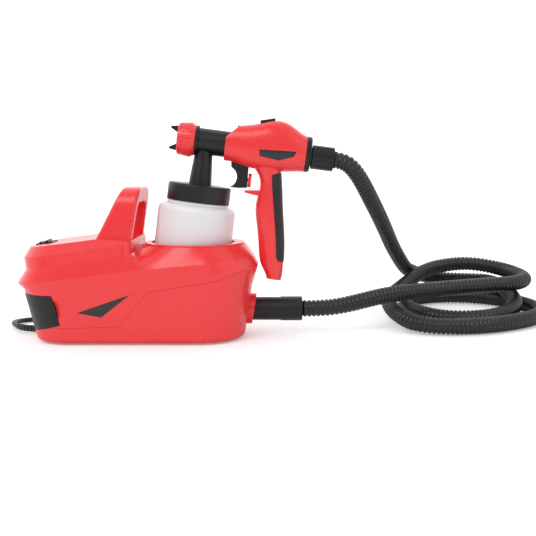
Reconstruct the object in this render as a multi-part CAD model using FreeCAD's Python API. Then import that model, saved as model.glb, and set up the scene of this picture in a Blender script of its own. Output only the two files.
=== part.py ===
import FreeCAD, Part
import math
import os
from FreeCAD import Vector as V

# A portable paint sprayer: a moulded base with a turbine inside, a ribbed air hose and
# a gun whose cup stands in a well of the base. Millimetres, +X to the hose, +Z up.

os.makedirs("parts", exist_ok=True)

# Clearances and fits
PLAY = 0.3                 # running gap between pieces that move against each other
SEAM = 0.15                # half of the gap at a moulded parting line
FIT = 0.05                 # radial room of a pin or shaft in its hole

# Base housing
WALL = 2.8                 # moulded wall
FLOOR = 2.5                # underside above the ground
HALF_WIDTH = 78.0          # half of the base, front to back
LEFT = 149.5               # left end at the belt line, from the middle of the base
RIGHT = 159.0              # right end at the belt line
BELT_LEFT = 69.0           # height of the belt line at the left end
BELT_RIGHT = 97.0          # and at the right end
WAIST_LEFT = 60.0
WAIST_RIGHT = 70.0
CORNER_LEFT = 50.0         # plan radius of the left corners
CORNER_RIGHT = 60.0        # and of the right corners
TAPER_LEFT = 15.5          # how far the bottom is drawn in at the left end
TAPER_RIGHT = 18.0
BOTTOM_EDGE = 6.0          # rounding under the housing
HOOD_END = 25.0            # where the hood over the motor ends on the belt line
HOOD_BROW = 10.0           # overhang of the hood at the left end
HOOD_TOP_LEFT = 123.5
HOOD_TOP_RIGHT = 141.5
HOOD_FLAT = 133.0          # height of the cut top beside the handle
RIM_X = 73.5               # middle of the round cup collar
RIM_Z = 125.5
RIM_R = 69.0

# Parting line between the lower and the upper housing, seen from the front
PARTING = ((-200.0, 20.1), (-19.0, 24.8), (19.0, 68.8), (106.5, 83.6), (150.0, 99.0), (190.0, 99.0))

# Screws that close the housing, and rubber feet
POST_R = 5.5
POSTS = ((-80.0, 64.0), (108.0, 57.0))
SCREW_R = 1.9
SCREW_HEAD_R = 3.6
SCREW_HEAD_H = 2.6
SCREW_GRIP = 14.0
FOOT_R = 9.0
FOOT_H = 3.5
FOOT_PEG_R = 3.0
FEET = ((-92.0, 50.0), (95.0, 46.0))

# Carrying handle, an arch across the housing
HANDLE_SPAN = 120.0        # over both legs at the foot
HANDLE_TOP = 201.0
HANDLE_BAR = 20.0          # thickness of the grip bar
HANDLE_LEG = 15.0          # thickness of a leg
HANDLE_ROUND = 25.0        # outer corner of the arch
HANDLE_EDGE = 3.5
HANDLE_LEAN = 7.1          # degrees that each leg leans inward
HANDLE_LEFT = ((-47.5, 138.5), (-16.0, 201.0))
HANDLE_RIGHT = ((-3.5, 137.5), (7.2, 201.0))

# Filter at the left end
COVER_T = 3.0
COVER_TOP = 64.5
FOAM_DEPTH = 3.6           # from the outside of the housing to the foam
FOAM_T = 5.0
TRAY_DEPTH = 9.0
TRAY_T = 2.5
SLOT_W = 4.0
SLOT_H = 9.0
SLOT_PITCH = 10.0
SLOT_TURN = 12.0           # degrees from slot to slot round a corner
SLOT_ROWS = (26.0, 39.5, 53.0)
SCOOP_R = 26.0
SCOOP_X = -103.0
SCOOP_Z = 46.0
SCOOP_DEPTH = 4.5

# Cup well, in the line of the gun
TILT = 7.3                 # lean of the cup and the gun toward the hose
SEAT_X = 63.6              # middle of the cup's bottom as it stands in the well
SEAT_Z = 67.1
WELL_GAP = 3.75            # room round the cup
WELL_T = 2.5
WELL_FLOOR = 2.7
WELL_LIP = 1.9
WELL_LIP_EDGE = 2.0        # how far the lip stays inside the collar's rim

# Rocker switch on the sloping top of the hood
SWITCH_X = -127.0
SWITCH_W = 30.0            # across the housing
SWITCH_L = 22.0            # along the housing
SWITCH_DEPTH = 16.0
SWITCH_RIM = 1.5
SWITCH_WALL = 1.5
ROCKER_TILT = 8.0
ROCKER_DROP = 8.0          # pivot under the panel
ROCKER_FOOT = 3.0          # rocker under its pivot
ROCKER_RISE = 2.6          # its two ends above the rim
ROCKER_PIN_R = 1.5

# Motor and turbine on an upright shaft
MOTOR_X = -65.0
SCROLL_GAP = 20.0          # from the side of the housing to the scroll
SCROLL_Z = 10.0
SCROLL_TOP = 41.5
SCROLL_LID = 2.5
SCROLL_T = 2.5
INLET_R = 22.0
SNOUT_Y = 38.0
SNOUT_Z = 27.0
SNOUT_R = 14.5
SNOUT_END = -8.0
WHEEL_GAP = 8.0            # from the scroll's outside to the turbine wheel
WHEEL_LOW = 16.0
WHEEL_HIGH = 34.0
WHEEL_T = 1.6
WHEEL_BLADES = 9
SHAFT_R = 4.0
BEARING_R = 11.0
BEARING_H = 7.5
TOP_BEARING_Z = 106.0
STATOR_R = 38.0
STATOR_LOW = 56.0
STATOR_HIGH = 92.0
ARMATURE_R = 21.0
AIR_GAP = 0.5
COMMUTATOR_R = 12.0
COMMUTATOR_H = 8.0
PLATE_T = 3.5
PLATE_VENT_R = 8.0
PLATE_VENT_PITCH = 26.0
LEG_R = 3.5
LEG_PITCH = 43.0           # radius of the four legs that carry the motor
MOUNT_R = 7.0
MOUNT_PITCH = 47.0

# Hose socket, cuff and air duct
SOCKET_Z = 35.5
SOCKET_R = 20.75
SOCKET_TOP = 157.0         # the slanted end face, at its top and at its bottom
SOCKET_LOW = 150.6
SOCKET_START = 118.0
PLUG_START = 130.0
PLUG_R = 15.75
PLUG_END = 190.0
CUFF_R = 16.5
CUFF_END = 219.0

# Power cord
CORD_R = 3.5
CORD_EXIT_X = -141.5
CORD_EXIT_Z = 7.3
BOSS_R = 7.5
BOSS_L = 13.0
BOSS_FOOT = 0.5            # underside of the boss above the ground
RELIEF_BEND = 42.0
RELIEF_TURN = 54.6         # degrees
RELIEF_START_R = 4.8
RELIEF_END_R = 4.0
CORD_Z = 3.7
COIL_X = -60.0
COIL_Y = 146.0
COIL_INNER = 31.0
COIL_PITCH = 7.7
COIL_TURNS = 3             # in each of two layers
PLUG_BODY_L = 34.0
PIN_R = 2.0

# Air hose
HOSE_R = 11.5              # over the ribs
HOSE_ROOT = 10.2           # between the ribs
HOSE_BORE = 9.0
RIB_PITCH = 9.0
LOFT_RIBS = 15             # ribs in one loft of the hose's skin

# Gun: u runs back along the barrel, w up, both from the barrel's axis over the cup
LID_TOP = 57.6             # under the barrel's axis
LID_H = 22.8
LID_R = 42.0
LID_T = 3.0
CUP_RING_H = 4.2
CUP_RING_R = 41.0
CUP_BODY_H = 110.9
CUP_R = 51.75
CUP_WALL = 1.8
CUP_SHOULDER = 9.0
CUP_BASE_EDGE = 6.0
NECK_WALL = 2.0
GASKET_T = 1.8
NECK_TOP_R = 12.0
NECK_LOW_R = 15.5
NECK_TOP = 18.0            # under the barrel's axis
TUBE_R = 4.0
TUBE_BORE = 2.6
TUBE_FOOT = 9.0            # from the cup's bottom

BARREL_R = 17.2
BARREL_FRONT = -11.0
BARREL_REAR = 37.0
FLANGE_R = 20.0
FLANGE_T = 3.0
THREAD_R = 14.5
THREAD_FRONT = -26.0
FLUID_BORE = 3.2
BOSS_REAR = 44.0
NOZZLE_TIP = -36.4
NOZZLE_TIP_R = 2.6
NOZZLE_HEX = 13.0          # across the flats
CAP_FACE = -36.0
CAP_R = 17.0
CAP_FLANGE_R = 18.6
HORN_TIP = -46.5
RING_R = 21.0
RING_BELLY_R = 23.0
RING_TAIL_R = 20.0
RING_FLUTES = 30
RING_FLUTE_R = 0.9

NEEDLE_R = 1.5
NEEDLE_END = 86.0
COLLAR_U = 57.3
COLLAR_T = 3.0
COLLAR_R = 8.0
TRIGGER_U = 53.0           # pivot
TRIGGER_W = 12.0
TRIGGER_T = 14.0
TRIGGER_PIN_R = 2.0
ARM_T = 3.0
ARM_OUT = 13.5
LUG_R = 4.0
LUG_IN = 5.5
KNOB_R = 9.2
KNOB_T = 4.2
KNOB_W = -43.5
KNOB_FLUTES = 14

SHELL_T = 2.6
GRIP_INNER = 4.6           # the grip's wall, with the rubber's recess in it
RUBBER_DEEP = 1.8
RUBBER_PROUD = 0.5
BODY_REAR = 135.0
COLLAR_REAR = 142.0
SPIGOT_R = 12.5
SPIGOT_END = 158.0
NUT_START = 143.5
NUT_END = 173.3
NUT_R = 16.0
NUT_AXIS = -2.0
NUT_FLUTES = 10
BUTTON_W = 8.0
GUN_POST_R = 4.5           # round the screws that close the gun

# Gun body stations: u, top, bottom (both from the axis), half-width
BODY = ((28.0, 21.0, 21.6, 20.5), (46.0, 27.4, 24.1, 21.5), (66.0, 32.0, 27.6, 23.0),
        (90.0, 39.2, 28.0, 24.0), (106.0, 38.0, 26.8, 24.0), (121.0, 30.5, 24.8, 23.3),
        (BODY_REAR, 24.0, 23.0, 21.5))
# Grip stations: w, middle in u, half-length, half-width
GRIP = ((-10.0, 90.0, 17.5, 17.0), (-33.0, 91.0, 16.0, 16.0), (-53.0, 95.2, 15.4, 16.0),
        (-71.0, 95.5, 18.0, 16.5), (-101.0, 100.5, 18.5, 17.0), (-131.0, 106.0, 17.5, 16.5),
        (-156.0, 110.5, 14.5, 15.5), (-171.0, 114.2, 10.3, 14.0))
# Outline of the rubber on the grip, seen from the side
RUBBER = ((105.0, -28.0), (94.0, -32.5), (96.0, -46.0), (100.0, -66.0), (104.0, -86.0), (108.0, -106.0),
          (111.5, -126.0), (113.5, -140.0), (116.5, -145.5), (150.0, -147.5), (150.0, -28.0))
# Lip under the trigger for the lower fingers
LIP = ((60.0, -57.3), (82.0, -54.6), (84.0, -62.0), (74.0, -62.0), (61.0, -60.3))
LIP_HALF = 9.0

# Routes, from the socket to the gun; the coil's marks carry the heading as well
LEAD_ROUTE = ((CUFF_END, 0.0, SOCKET_Z), (250.0, 0.0, SOCKET_Z), (284.0, 6.5, 40.0), (318.0, 20.0, 46.5),
              (352.0, 37.75, 50.25), (385.0, 52.0, 51.0))
COIL_MARKS = (((407.0, 61.5, 51.5), (44.0, 19.0, 1.0)), ((572.0, 185.0, 56.0), (0.0, 1.0, 0.05)),
              ((480.0, 250.0, 66.0), (-1.0, -0.05, -0.08)), ((407.0, 211.0, 48.0), (-0.62, -0.78, -0.28)),
              ((352.0, 80.0, 25.0), (0.0, -1.0, -0.12)), ((408.0, -8.0, 12.2), (1.0, 0.0, 0.0)),
              ((582.0, 140.0, 12.2), (0.0, 1.0, 0.0)), ((470.0, 250.0, 12.2), (-1.0, 0.0, 0.0)),
              ((388.0, 150.0, 12.2), (0.0, -1.0, 0.0)), ((460.0, 50.0, 12.2), (1.0, 0.0, 0.02)),
              ((551.0, 150.0, 28.0), (0.0, 1.0, 0.2)), ((503.0, 269.0, 37.5), (-1.0, 0.08, 0.0)),
              ((424.0, 263.0, 49.0), (-0.86, -0.37, 0.35)), ((396.0, 233.0, 65.0), (-0.36, -0.82, 0.44)))
RISER_ROUTE = ((387.7, 214.1, 75.1), (373.5, 181.0, 94.0), (360.0, 146.0, 113.5), (346.0, 107.0, 136.0),
               (330.0, 68.0, 161.0), (314.5, 36.0, 184.5), (301.5, 14.0, 205.0), (288.5, 3.5, 223.5))
RISER_RUN = 14.0           # straight end of the hose at the gun
CORD_ROUTE = ((-192.0, 64.0, 5.0), (-178.0, 85.0, CORD_Z), (-152.0, 93.5, CORD_Z),
              (-122.0, 92.8, CORD_Z), (-91.0, 91.9, CORD_Z))
CORD_RUN = 25.0            # straight start of the cord at its bend protector
TAIL_STEPS = ((22.0, 0.0, 0.0), (46.0, 1.0, -3.2), (70.0, 5.0, -5.7), (93.0, 13.0, -5.7))

pieces = {}
cord_pieces = set()
base_forms = {}


def put(name, shape, cord=False):
    """Keep a finished sub-part; a list of solids becomes one group."""
    if isinstance(shape, (list, tuple)):
        shape = Part.makeCompound(list(shape))
    pieces[name] = shape
    if cord:
        cord_pieces.add(name)


def box(x0, x1, y0, y1, z0, z1):
    return Part.makeBox(x1 - x0, y1 - y0, z1 - z0, V(x0, y0, z0))


def rod(r, start, end):
    """Round bar between two points."""
    way = end - start
    return Part.makeCylinder(r, way.Length, start, way)


def pipe(r_out, r_in, start, end):
    return rod(r_out, start, end).cut(rod(r_in, start, end))


def fuse(first, *rest):
    """Join solids one after another and merge the faces that line up."""
    for other in rest:
        first = first.fuse(other)
    return first.removeSplitter()


def cut(first, *tools):
    return first.cut(list(tools))


def side_prism(points, y0, y1):
    """Outline seen from the front, as thick as y0 to y1."""
    corners = [V(x, y0, z) for x, z in points]
    face = Part.Face(Part.makePolygon(corners + corners[:1]))
    return face.extrude(V(0, y1 - y0, 0))


def end_prism(edges, x0, x1):
    """Outline seen from the end, as long as x0 to x1."""
    face = Part.Face(Part.Wire(edges))
    face.translate(V(x0, 0, 0))
    return face.extrude(V(x1 - x0, 0, 0))


def turned(points, axis=V(0, 0, 1), at=V(0, 0, 0)):
    """Solid of revolution from (radius, height) points about an axis."""
    corners = [V(r, 0, h) for r, h in points]
    face = Part.Face(Part.makePolygon(corners + corners[:1]))
    solid = face.revolve(V(0, 0, 0), V(0, 0, 1), 360)
    if axis.x != 0:
        solid.rotate(V(0, 0, 0), V(0, 1, 0), 90)
    solid.translate(at)
    return solid


def ring(xl, zl, xr, zr, half, r_left, r_right, draw=0.0):
    """Rounded rectangle on a plane that slopes along X, drawn in all round."""
    slope = (zr - zl) / (xr - xl)
    zl = zl + slope * draw
    xl = xl + draw
    length = math.hypot(xr - draw - xl, (xr - draw - xl) * slope)
    half = half - draw
    rl = max(r_left - draw, 1.0)
    rr = max(r_right - draw, 1.0)
    k = 1 - math.sqrt(0.5)
    far = length
    edges = [Part.LineSegment(V(rl, -half, 0), V(far - rr, -half, 0)),
             Part.Arc(V(far - rr, -half, 0), V(far - rr * k, -half + rr * k, 0), V(far, -half + rr, 0)),
             Part.LineSegment(V(far, -half + rr, 0), V(far, half - rr, 0)),
             Part.Arc(V(far, half - rr, 0), V(far - rr * k, half - rr * k, 0), V(far - rr, half, 0)),
             Part.LineSegment(V(far - rr, half, 0), V(rl, half, 0)),
             Part.Arc(V(rl, half, 0), V(rl * k, half - rl * k, 0), V(0, half - rl, 0)),
             Part.LineSegment(V(0, half - rl, 0), V(0, -half + rl, 0)),
             Part.Arc(V(0, -half + rl, 0), V(rl * k, -half + rl * k, 0), V(rl, -half, 0))]
    wire = Part.Wire([e.toShape() for e in edges])
    wire.rotate(V(0, 0, 0), V(0, 1, 0), -math.degrees(math.atan(slope)))
    wire.translate(V(xl, 0, zl))
    return wire


def rim_circle(r, z, like):
    """Circle in eight arcs that answer the corners of a rounded rectangle."""
    centre = V(RIM_X, 0, z)
    angles = []
    for corner in like.OrderedVertexes:
        angles.append(math.atan2(corner.Y, corner.X - RIM_X))
    edges = []
    for i, a in enumerate(angles):
        b = angles[(i + 1) % len(angles)]
        if b < a:
            b += 2 * math.pi
        spots = [centre + V(r * math.cos(t), r * math.sin(t), 0) for t in (a, (a + b) / 2, b)]
        edges.append(Part.Arc(*spots).toShape())
    return Part.Wire(edges)


def belt_height(x):
    return BELT_LEFT + (x + LEFT) * (BELT_RIGHT - BELT_LEFT) / (RIGHT + LEFT)


def base_form(draw):
    """The base's outside, or the same drawn in by a wall, as a copy of its own."""
    if draw not in base_forms:
        base_forms[draw] = make_base_form(draw)
    return base_forms[draw].copy()


def make_base_form(draw):
    w = HALF_WIDTH
    foot = FLOOR + draw
    bottom = ring(-LEFT + TAPER_LEFT, foot, RIGHT - TAPER_RIGHT, foot, w, CORNER_LEFT, CORNER_RIGHT, draw)
    waist = ring(-LEFT + 1.3, WAIST_LEFT, RIGHT - 8, WAIST_RIGHT, w, CORNER_LEFT, CORNER_RIGHT, draw)
    belt = ring(-LEFT, BELT_LEFT, RIGHT, BELT_RIGHT, w, CORNER_LEFT, CORNER_RIGHT, draw)
    lower = Part.makeLoft([bottom, waist, belt], True, True)
    h = HOOD_END
    top = draw
    hood_rings = [ring(-LEFT, BELT_LEFT, h, belt_height(h), w, CORNER_LEFT, 12, draw),
                  ring(-LEFT - HOOD_BROW, 76, h - 5, 100, w, CORNER_LEFT + 6, 12, draw),
                  ring(-LEFT + 3.5, 95, h - 27, 117.5, w - 3, CORNER_LEFT - 4, 12, draw),
                  ring(-LEFT + 0.5, 110, h - 28, 131, w - 6, CORNER_LEFT - 4, 12, draw),
                  ring(-LEFT + 7.5, HOOD_TOP_LEFT - top, h - 29, HOOD_TOP_RIGHT - top, w - 17,
                       CORNER_LEFT - 10, 12, draw)]
    hood = Part.makeLoft(hood_rings, True, True)
    flat = HOOD_FLAT - draw
    over = side_prism([(-50, flat + 3), (0, flat + 0.5), (60, flat), (60, 170), (-50, 170)], -w - 5, w + 5)
    hood = hood.cut(over)
    low = ring(-70, belt_height(-70), RIGHT, BELT_RIGHT, w, CORNER_RIGHT, CORNER_RIGHT, draw)
    high = ring(-70, 90.7, RIGHT - 7, 110.8, w, CORNER_RIGHT + 2, CORNER_RIGHT + 2, draw)
    slope = Part.makeLoft([low, high], True, True)
    rim = rim_circle(RIM_R - 0.55 * draw, RIM_Z - draw, high)
    cone = Part.makeLoft([high, rim], True, True)
    form = lower.fuse([hood, slope, cone]).removeSplitter()
    if draw < BOTTOM_EDGE - 1:
        under = [e for e in form.Edges if all(abs(v.Z - foot) < 1e-6 for v in e.Vertexes)]
        form = form.makeFillet(BOTTOM_EDGE - draw, under)
    return form


def parting_height(x):
    for (xa, za), (xb, zb) in zip(PARTING, PARTING[1:]):
        if xa <= x <= xb:
            return za + (zb - za) * (x - xa) / (xb - xa)
    return PARTING[-1][1]


def parting_prism(shift, top):
    """Everything under (top False) or over (top True) the parting line."""
    line = [(x, z + shift) for x, z in PARTING]
    if top:
        line = line + [(190.0, 260.0), (-200.0, 260.0)]
    else:
        line = line + [(190.0, -20.0), (-200.0, -20.0)]
    return side_prism(line, -150, 150)


# Gun frame and what the base takes from it
up = V(math.sin(math.radians(TILT)), 0, math.cos(math.radians(TILT)))
back = V(math.cos(math.radians(TILT)), 0, -math.sin(math.radians(TILT)))
CUP_BOTTOM = -(LID_TOP + LID_H + CUP_RING_H + CUP_BODY_H)
gun_origin = V(SEAT_X, 0, SEAT_Z) - up * CUP_BOTTOM


def gun_place(shape):
    """Move a solid from the gun's own frame to where the gun stands."""
    shape.rotate(V(0, 0, 0), V(0, 1, 0), TILT)
    shape.translate(gun_origin)
    return shape


def put_gun(name, shape):
    if isinstance(shape, (list, tuple)):
        shape = Part.makeCompound(list(shape))
    put(name, gun_place(shape))


# Base: forms used by several sub-parts
WELL_IN = CUP_R + WELL_GAP
WELL_OUT = WELL_IN + WELL_T
well_bore = gun_place(rod(WELL_OUT + SEAM, V(0, 0, CUP_BOTTOM), V(0, 0, -LID_TOP)))


def filter_window(grow):
    """Side view of the filter cover, grown all round."""
    left = -LEFT - 60
    low_left = 15.0 - (left + 137.0) * -0.2727
    low_right = 27.0
    points = [(left, COVER_TOP + grow), (-103.0 + grow, COVER_TOP + grow),
              (-93.0 + grow, low_right - grow), (left, low_left - grow)]
    return side_prism(points, -150, 150)


def handle_arch(inset, top, r):
    """End view of the arch: leaning legs, tangent corners and a level top."""
    half = HANDLE_SPAN / 2 - inset
    drop = HOOD_FLAT - 12
    lean = math.radians(HANDLE_LEAN)
    reach = r * math.tan((math.pi / 2 - lean) / 2)
    corner = -half + (top - drop) * math.tan(lean)
    foot = V(0, -half, drop)
    side = V(0, corner - reach * math.sin(lean), top - reach * math.cos(lean))
    near = V(0, corner + reach, top)
    angle = math.pi * 0.75 - lean / 2
    bend = V(0, near.y + r * math.cos(angle), top - r + r * math.sin(angle))
    flip = [V(0, -p.y, p.z) for p in (near, bend, side, foot)]
    return [Part.LineSegment(foot, side).toShape(), Part.Arc(side, bend, near).toShape(),
            Part.LineSegment(near, flip[0]).toShape(), Part.Arc(*flip[:3]).toShape(),
            Part.LineSegment(flip[2], flip[3]).toShape(), Part.LineSegment(flip[3], foot).toShape()]


def make_handle():
    """Arch across the housing, cut to its tapered side view."""
    drop = HOOD_FLAT - 12
    solid = end_prism(handle_arch(0, HANDLE_TOP, HANDLE_ROUND), -90, 40)
    hole = end_prism(handle_arch(HANDLE_LEG, HANDLE_TOP - HANDLE_BAR, HANDLE_ROUND - 10), -95, 50)
    (xa, za), (xb, zb) = HANDLE_LEFT
    left = (xb - xa) / (zb - za)
    (xc, zc), (xd, zd) = HANDLE_RIGHT
    right = (xd - xc) / (zd - zc)
    over = HANDLE_TOP + 4
    profile = [(xa + left * (drop - za), drop), (xa + left * (over - za), over),
               (xc + right * (over - zc), over), (xc + right * (drop - zc), drop)]
    solid = solid.cut(hole).common(side_prism(profile, -150, 150))
    rounded = []
    for edge in solid.Edges:
        ends = edge.Vertexes
        on_left = all(abs(v.X - xa - left * (v.Z - za)) < 0.01 for v in ends)
        on_right = all(abs(v.X - xc - right * (v.Z - zc)) < 0.01 for v in ends)
        at_foot = all(abs(v.Z - drop) < 0.01 for v in ends)
        if (on_left or on_right) and not at_foot:
            rounded.append(edge)
    return solid.makeFillet(HANDLE_EDGE, rounded).cut(base_form(0.0))


def slot_cutters():
    """Rows of slots over the cover's end and round its two corners."""
    cutters = []
    flat = HALF_WIDTH - CORNER_LEFT
    for row, z in enumerate(SLOT_ROWS):
        shift = 0.5 * (row % 2)
        count = 6 - row % 2
        for i in range(count):
            slot = box(-LEFT - 20, -LEFT + 30, -SLOT_W / 2, SLOT_W / 2, z - SLOT_H / 2, z + SLOT_H / 2)
            slot.translate(V(0, (i - (count - 1) / 2) * SLOT_PITCH, 0))
            cutters.append(slot)
        for side in (-1, 1):
            for i in range(5):
                if z < 30 and i > 3:
                    continue
                slot = box(-CORNER_LEFT - 10, -CORNER_LEFT + 30, -SLOT_W / 2, SLOT_W / 2,
                           z - SLOT_H / 2, z + SLOT_H / 2)
                slot.rotate(V(0, 0, 0), V(0, 0, 1), side * (i + 0.6 + shift) * SLOT_TURN)
                slot.translate(V(-LEFT + CORNER_LEFT + 1, side * flat, 0))
                cutters.append(slot)
    return cutters


def make_filter():
    cover = base_form(0.0).cut(base_form(COVER_T)).common(filter_window(0.0))
    put("filter_cover", cut(cover, *slot_cutters()))
    foam = base_form(FOAM_DEPTH).cut(base_form(FOAM_DEPTH + FOAM_T)).common(filter_window(-2.0))
    put("filter_foam", foam)
    tray_in = base_form(TRAY_DEPTH + TRAY_T)
    back_wall = base_form(TRAY_DEPTH).cut(tray_in).common(filter_window(4.0))
    flow = [box(-LEFT - 20, -LEFT + 30, y - 3, y + 3, 24, 57) for y in (-30, -18, -6, 6, 18, 30)]
    rim = base_form(WALL).cut(tray_in).common(filter_window(4.0)).cut(filter_window(1.0))
    tray = fuse(cut(back_wall, *flow), rim)
    scroll = rod(HALF_WIDTH - SCROLL_GAP + 1, V(MOTOR_X, 0, 0), V(MOTOR_X, 0, 60))
    balls = [Part.makeSphere(SCOOP_R + WALL + SEAM, spot) for spot in scoop_spots()]
    put("filter_tray", cut(tray, scroll, cord_boss(SEAM), *balls))


def make_housings():
    shell = base_form(0.0).cut(base_form(WALL))
    posts = []
    webs = []
    bores = []
    for x, y in POSTS:
        split = parting_height(x)
        seat = split - 12
        for side in (-1, 1):
            spot = V(x, side * y, 0)
            posts.append(rod(POST_R, spot + V(0, 0, FLOOR), spot + V(0, 0, split + SCREW_GRIP + 2)))
            bores.append(rod(SCREW_HEAD_R + 0.4, spot, spot + V(0, 0, seat)))
            bores.append(rod(SCREW_R + FIT, spot, spot + V(0, 0, split + SCREW_GRIP)))
            low, high = sorted((side * y, side * (HALF_WIDTH + 5)))
            web = box(x - 1.5, x + 1.5, low, high, FLOOR + 1, split + SCREW_GRIP + 2)
            webs.append(web.common(base_form(0.0)))
    posts = [post.common(base_form(0.0)) for post in posts]
    pads = [rod(MOUNT_R + 2, V(x, y, FLOOR + WALL - 0.5), V(x, y, SCROLL_Z - 4)) for x, y in mount_spots()]
    shell = fuse(shell, cord_boss(0.0), *(posts + webs + pads))
    cord_in = rod(RELIEF_START_R + FIT, V(CORD_EXIT_X - 1, 0, CORD_EXIT_Z),
                  V(CORD_EXIT_X + BOSS_L + 1, 0, CORD_EXIT_Z))
    socket_in = rod(SOCKET_R + FIT, V(120, 0, SOCKET_Z), V(200, 0, SOCKET_Z))
    holes = [filter_window(PLAY), cord_in, socket_in, well_bore, switch_hole()]
    for x, y in FEET:
        for side in (-1, 1):
            spot = V(x, side * y, 0)
            holes.append(rod(FOOT_R + 0.2, spot, spot + V(0, 0, FOOT_H)))
            holes.append(rod(FOOT_PEG_R, spot, spot + V(0, 0, 12)))
    shell = cut(shell, *(bores + holes))
    shell = shell.cut([Part.makeSphere(SCOOP_R, spot) for spot in scoop_spots()])
    shell = fuse(shell, *scoop_walls())
    put("lower_housing", shell.common(parting_prism(-SEAM, False)))
    put("upper_housing", shell.common(parting_prism(SEAM, True)))


def scoop_spots():
    """Middles of the balls that scoop the finger recesses beside the filter cover."""
    return [V(SCOOP_X, side * (HALF_WIDTH + SCOOP_R - SCOOP_DEPTH), SCOOP_Z) for side in (-1, 1)]


def cord_boss(grow):
    """Round boss at the foot of the left end, trimmed above the ground."""
    end = CORD_EXIT_X + BOSS_L + grow
    bar = rod(BOSS_R + grow, V(CORD_EXIT_X, 0, CORD_EXIT_Z), V(end, 0, CORD_EXIT_Z))
    return bar.common(box(-200, 0, -20, 20, BOSS_FOOT - grow, 40))


def scoop_walls():
    """Floor of the finger recess beside the filter cover, on both sides."""
    walls = []
    for spot in scoop_spots():
        skin = Part.makeSphere(SCOOP_R + WALL, spot).cut(Part.makeSphere(SCOOP_R, spot))
        walls.append(skin.common(base_form(0.0)).cut(filter_window(PLAY)))
    return walls


def make_feet():
    feet = []
    screws = []
    for x, y in FEET:
        for side in (-1, 1):
            spot = V(x, side * y, 0)
            foot = fuse(rod(FOOT_R, spot, spot + V(0, 0, FOOT_H)),
                        rod(FOOT_PEG_R - FIT, spot + V(0, 0, FOOT_H - 1), spot + V(0, 0, FLOOR + WALL + 3)))
            feet.append(foot)
    for x, y in POSTS:
        seat = parting_height(x) - 12
        for side in (-1, 1):
            spot = V(x, side * y, seat)
            head = rod(SCREW_HEAD_R, spot - V(0, 0, SCREW_HEAD_H), spot)
            screws.append(fuse(head, rod(SCREW_R, spot - V(0, 0, 1), spot + V(0, 0, 12 + SCREW_GRIP - 2))))
    put("feet", feet)
    put("housing_screws", screws)


def make_well():
    """Open cup holder in the line of the gun, with a level lip on the collar."""
    floor = CUP_BOTTOM - PLAY - WELL_FLOOR
    outer = gun_place(rod(WELL_OUT, V(0, 0, floor), V(0, 0, -LID_TOP - 30)))
    bore = gun_place(rod(WELL_IN, V(0, 0, CUP_BOTTOM - PLAY), V(0, 0, -20)))
    level = RIM_Z + WELL_LIP
    keep = box(-50, 200, -100, 100, 0, level)
    lip = rod(RIM_R - WELL_LIP_EDGE, V(RIM_X, 0, RIM_Z + 0.05), V(RIM_X, 0, level))
    put("cup_well", fuse(outer.common(keep), lip).cut(bore))


def panel_place(shape):
    """Set a piece on the sloping top of the hood."""
    run = (HOOD_END - 29) - (-LEFT + 7.5)
    slope = math.atan((HOOD_TOP_RIGHT - HOOD_TOP_LEFT) / run)
    height = HOOD_TOP_LEFT + (SWITCH_X + LEFT - 7.5) * math.tan(slope)
    shape.rotate(V(0, 0, 0), V(0, 1, 0), -math.degrees(slope))
    shape.translate(V(SWITCH_X, 0, height))
    return shape


def switch_hole():
    w = SWITCH_W / 2 - 2
    n = SWITCH_L / 2 - 2
    return panel_place(box(-n - FIT, n + FIT, -w - FIT, w + FIT, -SWITCH_DEPTH - 4, 5))


def make_switch():
    w = SWITCH_W / 2 - 2
    n = SWITCH_L / 2 - 2
    tub = box(-n, n, -w, w, -SWITCH_DEPTH, 0.05)
    rim = box(-n - 2, n + 2, -w - 2, w + 2, 0.05, SWITCH_RIM)
    room = box(-n + SWITCH_WALL, n - SWITCH_WALL, -w + SWITCH_WALL, w - SWITCH_WALL,
               -SWITCH_DEPTH + 2, SWITCH_RIM + 1)
    pin = rod(ROCKER_PIN_R, V(0, -w + 0.5, -ROCKER_DROP), V(0, w - 0.5, -ROCKER_DROP))
    put("switch_body", panel_place(fuse(fuse(tub, rim).cut(room), pin)))
    half = w - SWITCH_WALL - PLAY
    tilt = math.radians(ROCKER_TILT)
    high = ROCKER_DROP + SWITCH_RIM
    reach = (n - SWITCH_WALL - PLAY - (high + 1) * math.sin(tilt)) / math.cos(tilt)
    outline = [(-reach + 1, -ROCKER_FOOT), (reach - 1, -ROCKER_FOOT), (reach, 0), (reach, high + ROCKER_RISE),
               (0, high + 0.3), (-reach, high + ROCKER_RISE), (-reach, 0)]
    rocker = side_prism(outline, -half, half)
    rocker = rocker.cut(rod(ROCKER_PIN_R + FIT, V(0, -half - 1, 0), V(0, half + 1, 0)))
    rocker.rotate(V(0, 0, 0), V(0, 1, 0), -ROCKER_TILT)
    rocker.translate(V(0, 0, -ROCKER_DROP))
    put("rocker_switch", panel_place(rocker))


def mount_spots():
    return [(MOTOR_X + MOUNT_PITCH * math.cos(a), MOUNT_PITCH * math.sin(a))
            for a in (math.radians(60), math.radians(180), math.radians(300))]


def leg_spots():
    return [(MOTOR_X + LEG_PITCH * math.cos(a), LEG_PITCH * math.sin(a))
            for a in (math.radians(45 + 90 * i) for i in range(4))]


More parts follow.
